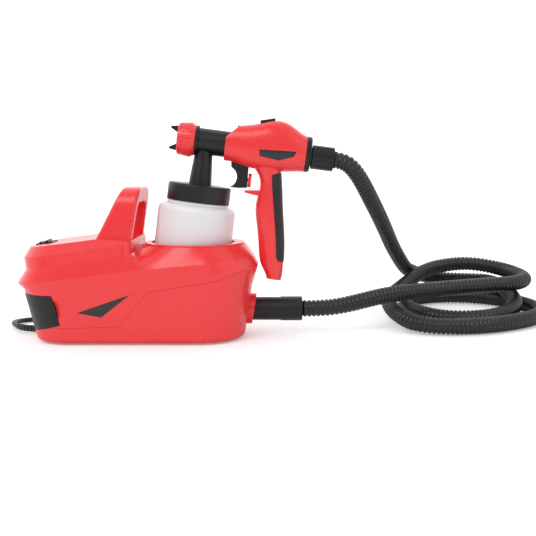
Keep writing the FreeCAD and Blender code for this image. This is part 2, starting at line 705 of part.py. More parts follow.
def make_turbine():
    """Scroll with its outlet snout, lid, wheel and the rubber that carries them."""
    axis = V(MOTOR_X, 0, 0)
    r = HALF_WIDTH - SCROLL_GAP
    pan = rod(r, axis + V(0, 0, SCROLL_Z), axis + V(0, 0, SCROLL_TOP))
    snout = rod(SNOUT_R, V(MOTOR_X + 15, SNOUT_Y, SNOUT_Z), V(SNOUT_END, SNOUT_Y, SNOUT_Z))
    room = rod(r - SCROLL_T, axis + V(0, 0, SCROLL_Z + SCROLL_T), axis + V(0, 0, SCROLL_TOP + 1))
    bore = rod(SNOUT_R - SCROLL_T, V(MOTOR_X + 17, SNOUT_Y, SNOUT_Z), V(SNOUT_END + 1, SNOUT_Y, SNOUT_Z))
    eye = rod(INLET_R, axis, axis + V(0, 0, SCROLL_Z + 5))
    put("turbine_scroll", fuse(pan, snout).cut([room, bore, eye]))
    lid = rod(r, axis + V(0, 0, SCROLL_TOP), axis + V(0, 0, SCROLL_TOP + SCROLL_LID))
    hub_low = SCROLL_TOP + SCROLL_LID
    hub = rod(BEARING_R + 3, axis + V(0, 0, hub_low - 1), axis + V(0, 0, hub_low + BEARING_H))
    seat = rod(BEARING_R + 0.01, axis + V(0, 0, hub_low), axis + V(0, 0, hub_low + 20))
    pass_hole = rod(SHAFT_R + 2, axis, axis + V(0, 0, 90))
    put("turbine_lid", fuse(lid, hub).cut([seat, pass_hole]))
    wheel_r = r - WHEEL_GAP
    plates = [pipe(wheel_r, INLET_R - 4, axis + V(0, 0, WHEEL_LOW), axis + V(0, 0, WHEEL_LOW + WHEEL_T)),
              pipe(wheel_r, SHAFT_R, axis + V(0, 0, WHEEL_HIGH - WHEEL_T), axis + V(0, 0, WHEEL_HIGH))]
    hub = pipe(SHAFT_R + 5, SHAFT_R, axis + V(0, 0, WHEEL_LOW - 2), axis + V(0, 0, WHEEL_HIGH))
    blades = []
    for i in range(WHEEL_BLADES):
        inner = INLET_R - 2
        arc = Part.Arc(V(inner, 0, 0), V((inner + wheel_r) / 2, 6, 0), V(wheel_r - 0.5, 0, 0)).toShape()
        blade = arc.extrude(V(0, 0, WHEEL_HIGH - WHEEL_LOW - WHEEL_T)).makeOffsetShape(1.2, 0.01, fill=True)
        blade.rotate(V(0, 0, 0), V(0, 0, 1), 360 * i / WHEEL_BLADES)
        blade.translate(axis + V(0, 0, WHEEL_LOW + WHEEL_T / 2))
        blades.append(blade)
    put("turbine_wheel", fuse(plates[0], plates[1], hub, *blades))
    mounts = [rod(MOUNT_R, V(x, y, SCROLL_Z - 4), V(x, y, SCROLL_Z)) for x, y in mount_spots()]
    put("motor_mounts", mounts)


def make_motor():
    axis = V(MOTOR_X, 0, 0)
    base = SCROLL_TOP + SCROLL_LID
    bearings = []
    for z in (base, TOP_BEARING_Z):
        top = z + BEARING_H - 0.5
        bearings.append(pipe(BEARING_R, SHAFT_R + 0.01, axis + V(0, 0, z), axis + V(0, 0, top)))
    put("bearings", bearings)
    shaft = rod(SHAFT_R, axis + V(0, 0, WHEEL_LOW - 2), axis + V(0, 0, TOP_BEARING_Z + BEARING_H))
    core = pipe(ARMATURE_R, SHAFT_R, axis + V(0, 0, STATOR_LOW + 1), axis + V(0, 0, STATOR_HIGH - 1))
    slots = []
    for i in range(12):
        a = math.radians(30 * i)
        spot = axis + V((ARMATURE_R - 1.5) * math.cos(a), (ARMATURE_R - 1.5) * math.sin(a), 0)
        slots.append(box(-3, 3, -1.2, 1.2, STATOR_LOW, STATOR_HIGH))
        slots[-1].rotate(V(0, 0, 0), V(0, 0, 1), 30 * i)
        slots[-1].translate(V(spot.x, spot.y, 0))
    put("rotor_shaft", shaft)
    put("armature", cut(core, *slots))
    comm_low = STATOR_HIGH + 3
    comm_high = comm_low + COMMUTATOR_H
    put("commutator", pipe(COMMUTATOR_R, SHAFT_R, axis + V(0, 0, comm_low), axis + V(0, 0, comm_high)))
    ring_part = pipe(STATOR_R, ARMATURE_R + AIR_GAP, axis + V(0, 0, STATOR_LOW), axis + V(0, 0, STATOR_HIGH))
    windows = [box(MOTOR_X - 12, MOTOR_X + 12, y0, y1, STATOR_LOW - 1, STATOR_HIGH + 1)
               for y0, y1 in ((ARMATURE_R, STATOR_R - 5), (-STATOR_R + 5, -ARMATURE_R))]
    ears = [rod(LEG_R + 3, V(x, y, STATOR_LOW), V(x, y, STATOR_HIGH)) for x, y in leg_spots()]
    leg_holes = [rod(LEG_R + FIT, V(x, y, STATOR_LOW - 1), V(x, y, STATOR_HIGH + 1)) for x, y in leg_spots()]
    rotor_room = rod(ARMATURE_R + AIR_GAP, axis, axis + V(0, 0, 150))
    put("motor_stator", fuse(ring_part.cut(windows), *ears).cut(leg_holes + [rotor_room]))
    plate_low = TOP_BEARING_Z - 1
    plate = rod(LEG_PITCH + LEG_R + 1, axis + V(0, 0, plate_low), axis + V(0, 0, plate_low + PLATE_T))
    hub = rod(BEARING_R + 2.5, axis + V(0, 0, plate_low), axis + V(0, 0, TOP_BEARING_Z + BEARING_H - 0.5))
    seat = rod(BEARING_R + 0.01, axis + V(0, 0, TOP_BEARING_Z), axis + V(0, 0, TOP_BEARING_Z + 20))
    shaft_hole = rod(SHAFT_R + 1, axis + V(0, 0, 90), axis + V(0, 0, 130))
    legs = [rod(LEG_R, V(x, y, base), V(x, y, plate_low + 1)) for x, y in leg_spots()]
    vents = []
    for i in range(4):
        a = math.radians(90 * i)
        spot = axis + V(PLATE_VENT_PITCH * math.cos(a), PLATE_VENT_PITCH * math.sin(a), 0)
        vents.append(rod(PLATE_VENT_R, spot + V(0, 0, 100), spot + V(0, 0, 130)))
    put("motor_bracket", fuse(plate, hub, *legs).cut([seat, shaft_hole] + vents))
    brushes = []
    for side in (-1, 1):
        far = axis.x + side * (COMMUTATOR_R + 18)
        near = axis.x + side * (COMMUTATOR_R + PLAY)
        brushes.append(box(min(near, far), max(near, far), -4.5, 4.5, comm_low, plate_low))
    put("brush_holders", brushes)


def make_duct():
    stations = ((SNOUT_END, SNOUT_Y, SNOUT_Z), (55.0, 22.0, 30.0), (SOCKET_START, 0.0, SOCKET_Z))
    skins = []
    for r in (SNOUT_R, SNOUT_R - SCROLL_T):
        rings = [Part.Wire([Part.Circle(V(*s), V(1, 0, 0), r).toShape()]) for s in stations]
        skins.append(Part.makeLoft(rings, True, True))
    put("outlet_duct", skins[0].cut(skins[1]))


def make_socket():
    """Red collar that the hose plugs into, with a slanted end face."""
    spot = V(SOCKET_START, 0, SOCKET_Z)
    body = fuse(rod(SOCKET_R, V(136, 0, SOCKET_Z), V(180, 0, SOCKET_Z)),
                rod(SOCKET_R - 3, spot, V(140, 0, SOCKET_Z)))
    dx = SOCKET_TOP - SOCKET_LOW
    rise = 2 * SOCKET_R
    beyond = side_prism([(SOCKET_LOW, SOCKET_Z - SOCKET_R), (SOCKET_TOP, SOCKET_Z + SOCKET_R),
                         (SOCKET_TOP + dx, SOCKET_Z + SOCKET_R + rise), (220, SOCKET_Z + SOCKET_R + rise),
                         (220, -30), (SOCKET_LOW - dx, SOCKET_Z - SOCKET_R - rise)], -50, 50)
    bore = rod(PLUG_R + FIT, V(PLUG_START, 0, SOCKET_Z), V(220, 0, SOCKET_Z))
    inner = rod(SNOUT_R - SCROLL_T, V(SOCKET_START - 1, 0, SOCKET_Z), V(220, 0, SOCKET_Z))
    put("hose_socket", body.cut([beyond, bore, inner]))
    plug = pipe(PLUG_R, HOSE_BORE, V(PLUG_START, 0, SOCKET_Z), V(PLUG_END, 0, SOCKET_Z))
    put("hose_plug", plug, True)
    cuff = pipe(CUFF_R, HOSE_BORE, V(PLUG_END, 0, SOCKET_Z), V(CUFF_END, 0, SOCKET_Z))
    rim = [e for e in cuff.Edges if abs(e.CenterOfMass.x - CUFF_END) < 0.01 and e.Length > 80]
    put("hose_cuff", cuff.makeFillet(1.5, rim), True)


def rounded_route(points):
    """Straight runs joined by tangent arcs as large as the runs allow."""
    spots = [V(*p) for p in points]
    edges = []
    radii = []
    last = spots[0]
    for a, b, c in zip(spots, spots[1:], spots[2:]):
        come = (b - a).normalize()
        go = (c - b).normalize()
        turn = come.getAngle(go)
        reach = 0.45 * min((b - a).Length, (c - b).Length)
        r = reach / math.tan(turn / 2)
        start = b - come * reach
        end = b + go * reach
        inward = (go - come).normalize()
        middle = b + inward * (math.hypot(r, reach) - r)
        edges.append(Part.LineSegment(last, start).toShape())
        edges.append(Part.Arc(start, middle, end).toShape())
        radii.append(round(r))
        last = end
    edges.append(Part.LineSegment(last, spots[-1]).toShape())
    return edges, radii


def biarc(p, tp, q, tq):
    """Two arcs from p to q that leave along tp and arrive along tq."""
    v = q - p
    t = tp + tq
    a = 2 * (1 - tp.dot(tq))
    b = 2 * v.dot(t)
    d = (-b + math.sqrt(b * b + 4 * a * v.dot(v))) / (2 * a)
    first = p + tp * d
    second = q - tq * d
    join = (first + second) * 0.5
    arcs = []
    for s, corner, e in ((p, first, join), (join, second, q)):
        half = (e - s).Length / 2
        reach = (corner - s).Length
        high = math.sqrt(reach * reach - half * half)
        r = reach * half / high
        chord = (s + e) * 0.5
        top = chord + (corner - chord).normalize() * (r - math.sqrt(r * r - half * half))
        arcs.append(Part.Arc(s, top, e).toShape())
    return arcs


def tube(edges, r):
    """Round tube along a path, as one pipe shell."""
    path = Part.Wire(edges)
    start = edges[0].valueAt(edges[0].FirstParameter)
    heading = edges[0].tangentAt(edges[0].FirstParameter)
    section = Part.Wire([Part.Circle(start, heading, r).toShape()])
    return path.makePipeShell([section], True, False)


def stations_along(path, gaps):
    """Points and headings at given distances along a wire."""
    found = []
    for s in gaps:
        left = s
        for e in path:
            if left <= e.Length or e is path[-1]:
                param = e.getParameterByLength(min(left, e.Length))
                found.append((e.valueAt(param), e.tangentAt(param)))
                break
            left -= e.Length
    return found


def ribbed(edges, pitch):
    """Hose with a square rib on each pitch, four circles to a rib, and its bore."""
    total = sum(e.Length for e in edges)
    count = int(total / pitch)
    step = total / count
    gaps = []
    sizes = []
    for i in range(count):
        for share, r in ((0.0, HOSE_ROOT), (0.3, HOSE_ROOT), (0.45, HOSE_R), (0.85, HOSE_R)):
            gaps.append((i + share) * step)
            sizes.append(r)
    gaps.append(total)
    sizes.append(HOSE_ROOT)
    rings = []
    for (spot, heading), r in zip(stations_along(edges, gaps), sizes):
        circle = Part.Circle(spot, heading, r)
        circle.XAxis = V(0, 0, 1).cross(heading).normalize()
        rings.append(Part.Wire([circle.toShape()]))
    run = 4 * LOFT_RIBS
    lofts = [Part.makeLoft(rings[i:i + run + 1], True, True) for i in range(0, len(rings) - 1, run)]
    skin = lofts[0]
    for part in lofts[1:]:
        skin = skin.fuse(part)
    return skin.cut(tube(edges, HOSE_BORE)), count


def least_gap(paths, d):
    """Least distance between stretches of one hose that lie far apart along it."""
    spots = []
    along = []
    run = 0.0
    for e in paths:
        n = max(2, int(e.Length / 8))
        for i in range(n):
            spots.append(e.valueAt(e.getParameterByLength(e.Length * i / n)))
            along.append(run + e.Length * i / n)
        run += e.Length
    least = 1e9
    for i, a in enumerate(spots):
        for j in range(i + 1, len(spots)):
            if along[j] - along[i] > 4 * d:
                least = min(least, (spots[j] - a).Length)
    return least - d


def volume_share(solid, edges, r_out, r_in):
    length = sum(e.Length for e in edges)
    return solid.Volume / (math.pi * (r_out ** 2 - r_in ** 2) * length)


def make_hose():
    nut_end = gun_origin + back * NUT_END + up * NUT_AXIS
    lead, lead_radii = rounded_route(LEAD_ROUTE)
    riser, riser_radii = rounded_route(RISER_ROUTE + (tuple(nut_end + back * RISER_RUN), tuple(nut_end)))
    marks = [(V(*p), V(*t).normalize()) for p, t in COIL_MARKS]
    coil = [Part.LineSegment(V(*LEAD_ROUTE[-1]), marks[0][0]).toShape()]
    for (p, tp), (q, tq) in zip(marks, marks[1:]):
        coil = coil + biarc(p, tp, q, tq)
    coil.append(Part.LineSegment(marks[-1][0], V(*RISER_ROUTE[0])).toShape())
    print("hose lead radii", lead_radii, "riser radii", riser_radii)
    print("hose coil radii", [round(e.Curve.Radius) for e in coil if hasattr(e.Curve, "Radius")])
    print("hose least gap to itself", round(least_gap(lead + coil + riser, 2 * HOSE_R), 2))
    lead_solid, lead_ribs = ribbed(lead, RIB_PITCH)
    riser_solid, riser_ribs = ribbed(riser, RIB_PITCH)
    print("hose ribs", lead_ribs + riser_ribs)
    put("hose_lead", lead_solid, True)
    put("hose_riser", riser_solid, True)
    coil_solid = tube(coil, HOSE_R).cut(tube(coil, HOSE_BORE))
    put("hose_coil", coil_solid, True)
    print("hose coil volume share", round(volume_share(coil_solid, coil, HOSE_R, HOSE_BORE), 3))
    print("hose length", round(sum(e.Length for e in lead + coil + riser)))


def relief_end():
    turn = math.radians(RELIEF_TURN)
    x = CORD_EXIT_X - RELIEF_BEND * math.sin(turn)
    y = RELIEF_BEND * (1 - math.cos(turn))
    return V(x, y, CORD_EXIT_Z), V(-math.cos(turn), math.sin(turn), 0)


def make_relief():
    """Tapered bend protector that leaves the boss and turns behind the base."""
    rings = []
    steps = 6
    for i in range(steps + 1):
        share = i / steps
        turn = math.radians(RELIEF_TURN) * share
        spot = V(CORD_EXIT_X - RELIEF_BEND * math.sin(turn), RELIEF_BEND * (1 - math.cos(turn)), CORD_EXIT_Z)
        r = RELIEF_START_R + (RELIEF_END_R - RELIEF_START_R) * share
        rings.append(Part.Wire([Part.Circle(spot, V(-math.cos(turn), math.sin(turn), 0), r).toShape()]))
    body = Part.makeLoft(rings, True, False)
    inner = rod(RELIEF_START_R, V(CORD_EXIT_X, 0, CORD_EXIT_Z), V(CORD_EXIT_X + BOSS_L, 0, CORD_EXIT_Z))
    put("strain_relief", fuse(body, inner), True)


def coil_spots():
    """Quarter points of the put-away cord: in on the floor, up one layer, and out."""
    spots = []
    quarters = 4 * COIL_TURNS
    for i in range(2 * quarters + 1):
        if i <= quarters:
            r = COIL_INNER + COIL_PITCH * (quarters - i) / 4
        else:
            r = COIL_INNER + COIL_PITCH * (i - quarters) / 4
        z = CORD_Z
        if i == quarters:
            z = CORD_Z + COIL_PITCH / 2
        if i > quarters:
            z = CORD_Z + COIL_PITCH
        a = math.radians(-90 + 90 * i)
        spot = V(COIL_X + r * math.cos(a), COIL_Y + r * math.sin(a), z)
        spots.append((spot, V(-math.sin(a), math.cos(a), 0)))
    return spots


def make_cord():
    start, heading = relief_end()
    spots = coil_spots()
    lead_points = (tuple(start), tuple(start + heading * CORD_RUN)) + CORD_ROUTE + (tuple(spots[0][0]),)
    lead, lead_radii = rounded_route(lead_points)
    coil = []
    for (p, tp), (q, tq) in zip(spots, spots[1:]):
        coil = coil + biarc(p, tp, q, tq)
    last, way = spots[-1]
    exit_run = last + way * (2 * CORD_R)
    coil.append(Part.LineSegment(last, exit_run).toShape())
    tail_route = [exit_run] + [exit_run + V(*step) for step in TAIL_STEPS]
    tail, tail_radii = rounded_route([tuple(p) for p in tail_route])
    print("cord radii", lead_radii, tail_radii)
    print("cord coil least gap", round(least_gap(coil, 2 * CORD_R), 2))
    put("power_cord_lead", tube(lead, CORD_R), True)
    put("power_cord_coil", tube(coil, CORD_R), True)
    put("power_cord_tail", tube(tail, CORD_R), True)
    print("cord length", round(sum(e.Length for e in lead + coil + tail)))
    end = tail_route[-1]
    out = (end - tail_route[-2])
    out = V(out.x, out.y, 0).normalize()
    angle = math.degrees(math.atan2(out.y, out.x))
    body = turned([(0, 0), (4.5, 0), (5.5, 10), (10, 16), (11, PLUG_BODY_L), (0, PLUG_BODY_L)], V(1, 0, 0))
    flat = box(-1, PLUG_BODY_L + 1, -12, 12, -5.5, 12)
    body = body.common(flat)
    pins = [rod(PIN_R, V(PLUG_BODY_L - 1, y, 0), V(PLUG_BODY_L + 18, y, 0)) for y in (-6.5, 6.5)]
    plug = fuse(body, *pins)
    plug.rotate(V(0, 0, 0), V(0, 0, 1), angle)
    plug.translate(end)
    put("power_plug", plug, True)


def superellipse_yz(u, half, top, bottom, power=2.5, count=16):
    """Closed curve across the gun body, flatter than an ellipse."""
    spots = []
    for i in range(count):
        t = 2 * math.pi * i / count
        c = math.cos(t)
        s = math.sin(t)
        high = top if s > 0 else bottom
        spots.append(V(u, math.copysign(abs(c) ** (2 / power), c) * half,
                       math.copysign(abs(s) ** (2 / power), s) * high))
    curve = Part.BSplineCurve()
    curve.interpolate(spots, PeriodicFlag=True)
    return Part.Wire([curve.toShape()])


def superellipse_xy(w, middle, half_length, half_width, power=2.4, count=16):
    spots = []
    for i in range(count):
        t = 2 * math.pi * i / count
        c = math.cos(t)
        s = math.sin(t)
        spots.append(V(middle + math.copysign(abs(c) ** (2 / power), c) * half_length,
                       math.copysign(abs(s) ** (2 / power), s) * half_width, w))
    curve = Part.BSplineCurve()
    curve.interpolate(spots, PeriodicFlag=True)
    return Part.Wire([curve.toShape()])


def body_form(draw):
    rings = []
    for i, (u, top, bottom, half) in enumerate(BODY):
        shift = 0.0
        if draw > 0 and i == 0:
            shift = draw + 0.4
        rings.append(superellipse_yz(u + shift, half - draw, top - draw, bottom - draw))
    form = Part.makeLoft(rings, True, False)
    lift = draw * 1.4
    over = side_prism([(20.0, 1.0 - lift), (44.0, 26.4 - lift), (44.0, 60.0), (20.0, 60.0)], -60, 60)
    return form.cut(over)


def grip_form(draw):
    rings = []
    for i, (w, middle, half_length, half_width) in enumerate(GRIP):
        height = w
        if i == len(GRIP) - 1 and draw > 0:
            height = w + min(draw, SHELL_T)
        rings.append(superellipse_xy(height, middle, half_length - draw, half_width - draw))
    return Part.makeLoft(rings, True, False)


def make_gun_shell():
    """Two moulded halves that meet on the gun's middle plane."""
    lip = side_prism(LIP, -LIP_HALF, LIP_HALF)
    skin = body_form(0.0).fuse([grip_form(0.0), lip])
    room = body_form(SHELL_T).fuse(grip_form(GRIP_INNER))
    shell = skin.cut(room)
    slot = box(33.0, 70.5, -TRIGGER_T / 2 - 0.6, TRIGGER_T / 2 + 0.6, -45, -15)
    front = rod(BARREL_R + FIT, V(20, 0, 0), V(BARREL_REAR + 1, 0, 0))
    rear = rod(SPIGOT_R + FIT, V(120, 0, NUT_AXIS), V(160, 0, NUT_AXIS))
    strip = side_prism([(70.0, 32.9), (90.0, 37.4), (89.5, 50.0), (69.8, 50.0)], -5, 5)
    tab = box(40.6, 44.4, -BUTTON_W / 2 - PLAY, BUTTON_W / 2 + PLAY, 10, 40)
    groove = grip_form(-RUBBER_PROUD - 1).cut(grip_form(RUBBER_DEEP)).common(side_prism(RUBBER, -40, 40))
    shell = shell.cut([slot, front, rear, strip, tab, groove])
    pin_boss = []
    for side in (-1, 1):
        reach = V(TRIGGER_U, side * (ARM_OUT + PLAY), TRIGGER_W)
        pin_boss.append(rod(4.5, reach, V(TRIGGER_U, side * 21, TRIGGER_W)))
    seat = box(84.0, 88.0, -20, 20, -18, 18)
    needle_seat = seat.common(body_form(SHELL_T / 2)).cut(rod(NEEDLE_R + 0.5, V(80, 0, 0), V(95, 0, 0)))
    shell = shell.fuse([b.common(body_form(1.0)) for b in pin_boss] + [needle_seat])
    shell = shell.cut([rod(TRIGGER_PIN_R + FIT, V(TRIGGER_U, -19, TRIGGER_W), V(TRIGGER_U, 19, TRIGGER_W))])
    screw_spots = gun_screw_spots()
    for u, w in screw_spots:
        across = rod(GUN_POST_R, V(u, -25, w), V(u, 25, w)).common(skin)
        shell = shell.fuse(across)
    for u, w in screw_spots:
        hole = rod(SCREW_R + FIT, V(u, 14, w), V(u, -10, w))
        shell = shell.cut([hole, rod(SCREW_HEAD_R + 0.3, V(u, 40, w), V(u, 11, w))])
    near = shell.common(box(-20, 200, -60, 0, -250, 80))
    far = shell.common(box(-20, 200, 0, 60, -250, 80))
    put_gun("gun_shell_near", near)
    put_gun("gun_shell_far", far)
    screws = []
    for u, w in screw_spots:
        head = rod(SCREW_HEAD_R, V(u, 11 + SCREW_HEAD_H, w), V(u, 11, w))
        screws.append(fuse(head, rod(SCREW_R, V(u, 12, w), V(u, -9, w))))
    put_gun("gun_screws", screws)
    insert = grip_form(-RUBBER_PROUD).cut(grip_form(RUBBER_DEEP)).common(side_prism(RUBBER, -40, 40))
    scallops = []
    for i in range(5):
        w = -50 - 20 * i
        u = 112 + 0.21 * (20 * i) - 0.5
        scallops.append(rod(9, V(u + 9.6, -40, w), V(u + 9.6, 40, w)))
    put_gun("grip_insert", insert.cut(scallops))
    strip_bar = side_prism([(70.2, 33.0), (89.8, 37.5), (89.3, 42.2), (70.0, 37.0)], -5 + FIT, 5 - FIT)
    put_gun("top_strip", strip_bar)


def gun_screw_spots():
    return [(113.0, 10.0), (93.0, -80.0), (103.0, -135.0)]


def make_gun_rear():
    """Black end collar, the hose spigot through it and the fluted nut."""
    u, top, bottom, half = BODY[-1]
    rings = [superellipse_yz(BODY_REAR, half + 0.2, top + 0.2, bottom + 0.2),
             superellipse_yz(COLLAR_REAR - 1.5, half, top, bottom),
             superellipse_yz(COLLAR_REAR, half - 2, top - 2, bottom - 2)]
    plate = Part.makeLoft(rings, True, True)
    bore = rod(SPIGOT_R + FIT, V(120, 0, NUT_AXIS), V(160, 0, NUT_AXIS))
    put_gun("rear_collar", plate.cut(bore))
    spigot = fuse(pipe(SPIGOT_R, HOSE_BORE, V(123, 0, NUT_AXIS), V(SPIGOT_END, 0, NUT_AXIS)),
                  pipe(SPIGOT_R + 3, HOSE_BORE, V(123, 0, NUT_AXIS), V(126, 0, NUT_AXIS)))
    put_gun("hose_spigot", spigot)
    nut = rod(NUT_R, V(NUT_START, 0, NUT_AXIS), V(NUT_END, 0, NUT_AXIS))
    rims = [e for e in nut.Edges if e.Length > 50]
    nut = nut.makeFillet(1.2, rims)
    bores = [rod(SPIGOT_R + PLAY, V(NUT_START - 1, 0, NUT_AXIS), V(SPIGOT_END + 0.5, 0, NUT_AXIS)),
             rod(HOSE_BORE, V(NUT_START, 0, NUT_AXIS), V(NUT_END + 1, 0, NUT_AXIS))]
    flutes = []
    for i in range(NUT_FLUTES):
        a = math.radians(360 * (i + 0.5) / NUT_FLUTES)
        spot = V(0, (NUT_R + 1.2) * math.cos(a), NUT_AXIS + (NUT_R + 1.2) * math.sin(a))
        flutes.append(rod(2.2, spot + V(NUT_START + 4, 0, 0), spot + V(NUT_END - 3, 0, 0)))
    put_gun("hose_nut", nut.cut(bores + flutes))


def make_barrel():
    """Spray head: barrel with its neck stub, nozzle, air cap and ring nut."""
    tube_part = fuse(rod(BARREL_R, V(BARREL_FRONT, 0, 0), V(BARREL_REAR, 0, 0)),
                     rod(FLANGE_R, V(BARREL_FRONT - 1, 0, 0), V(BARREL_FRONT - 1 + FLANGE_T, 0, 0)),
                     rod(THREAD_R, V(THREAD_FRONT, 0, 0), V(BARREL_FRONT, 0, 0)),
                     rod(9.0, V(BARREL_REAR - 1, 0, 0), V(BOSS_REAR, 0, 0)),
                     rod(NECK_TOP_R, V(0, 0, 0), V(0, 0, -NECK_TOP)))
    bores = [rod(NEEDLE_R + 0.6, V(-40, 0, 0), V(50, 0, 0)), rod(9.9, V(-40, 0, 0), V(-18, 0, 0)),
             rod(FLUID_BORE, V(-19, 0, 0), V(6, 0, 0)), rod(FLUID_BORE, V(0, 0, 0), V(0, 0, -NECK_TOP - 2)),
             rod(TUBE_R + FIT, V(0, 0, -NECK_TOP + 4), V(0, 0, -NECK_TOP - 2)),
             rod(4.6, V(BOSS_REAR - 6, 0, 0), V(BOSS_REAR + 5, 0, 0))]
    for a in (90, 210, 330):
        way = V(0, 13.0 * math.cos(math.radians(a)), 13.0 * math.sin(math.radians(a)))
        bores.append(rod(1.6, V(-40, 0, 0) + way * 0.92, V(BARREL_REAR - 6, 0, 0) + way * 0.92))
    put_gun("barrel", cut(tube_part, *bores))
    packing = fuse(rod(4.5, V(BOSS_REAR - 5.8, 0, 0), V(BOSS_REAR + 1, 0, 0)),
                   rod(6.5, V(BOSS_REAR, 0, 0), V(BOSS_REAR + 4, 0, 0)))
    put_gun("packing_nut", packing.cut(rod(NEEDLE_R + FIT, V(30, 0, 0), V(60, 0, 0))))
    profile = [(2.0 + NEEDLE_R, -18.2), (9.8, -18.2), (9.8, -26.0), (10.6, -26.0), (10.6, -29.0),
               (7.0, -30.0), (NOZZLE_TIP_R + 1.6, -31.6), (NOZZLE_TIP_R, -33.0), (NOZZLE_TIP_R, NOZZLE_TIP),
               (NEEDLE_R + 0.2, NOZZLE_TIP), (NEEDLE_R + 0.2, -31.0), (2.0 + NEEDLE_R, -29.0)]
    put_gun("nozzle", turned(profile, V(1, 0, 0)))
    inner = CAP_FACE + 2.2
    profile = [(NOZZLE_TIP_R + 0.35, CAP_FACE), (CAP_R, CAP_FACE), (CAP_R, -33.4), (CAP_FLANGE_R, -33.4),
               (CAP_FLANGE_R, -31.0), (13.5, -31.0), (13.5, inner + 1.0), (NOZZLE_TIP_R + 3.0, inner),
               (NOZZLE_TIP_R + 0.35, inner)]
    cap = turned(profile, V(1, 0, 0))
    horns = []
    for side in (-1, 1):
        outline = [(CAP_FACE + 1, side * 6.0), (CAP_FACE + 1, side * 16.4), (CAP_FACE - 4, side * 16.0),
                   (HORN_TIP, side * 15.0), (HORN_TIP, side * 12.4), (CAP_FACE - 2.5, side * 8.0)]
        horns.append(side_prism(outline, -4.0, 4.0))
    holes = [rod(0.7, V(HORN_TIP + 2.5, 0, side * 15.0), V(HORN_TIP + 6.5, 0, side * 9.0))
             for side in (-1, 1)]
    put_gun("air_cap", fuse(cap, *horns).cut(holes))
    profile = [(CAP_R + PLAY, -36.0), (RING_R - 1.2, -36.0), (RING_R, -34.8), (RING_BELLY_R, -19.0),
               (RING_TAIL_R, -13.2), (RING_TAIL_R - 1, -12.3), (THREAD_R + PLAY, -12.3),
               (THREAD_R + PLAY, THREAD_FRONT - 1),
               (CAP_FLANGE_R + PLAY, THREAD_FRONT - 1), (CAP_FLANGE_R + PLAY, -33.7), (CAP_R + PLAY, -33.7)]
    nut = turned(profile, V(1, 0, 0))
    flutes = []
    for i in range(RING_FLUTES):
        a = 2 * math.pi * i / RING_FLUTES
        spot = V(0, math.cos(a), math.sin(a))
        front = V(-33.0, 0, 0) + spot * (RING_R + 0.7)
        flutes.append(rod(RING_FLUTE_R, front, V(-15.5, 0, 0) + spot * (RING_BELLY_R + 0.3)))
    put_gun("ring_nut", nut.cut(flutes))


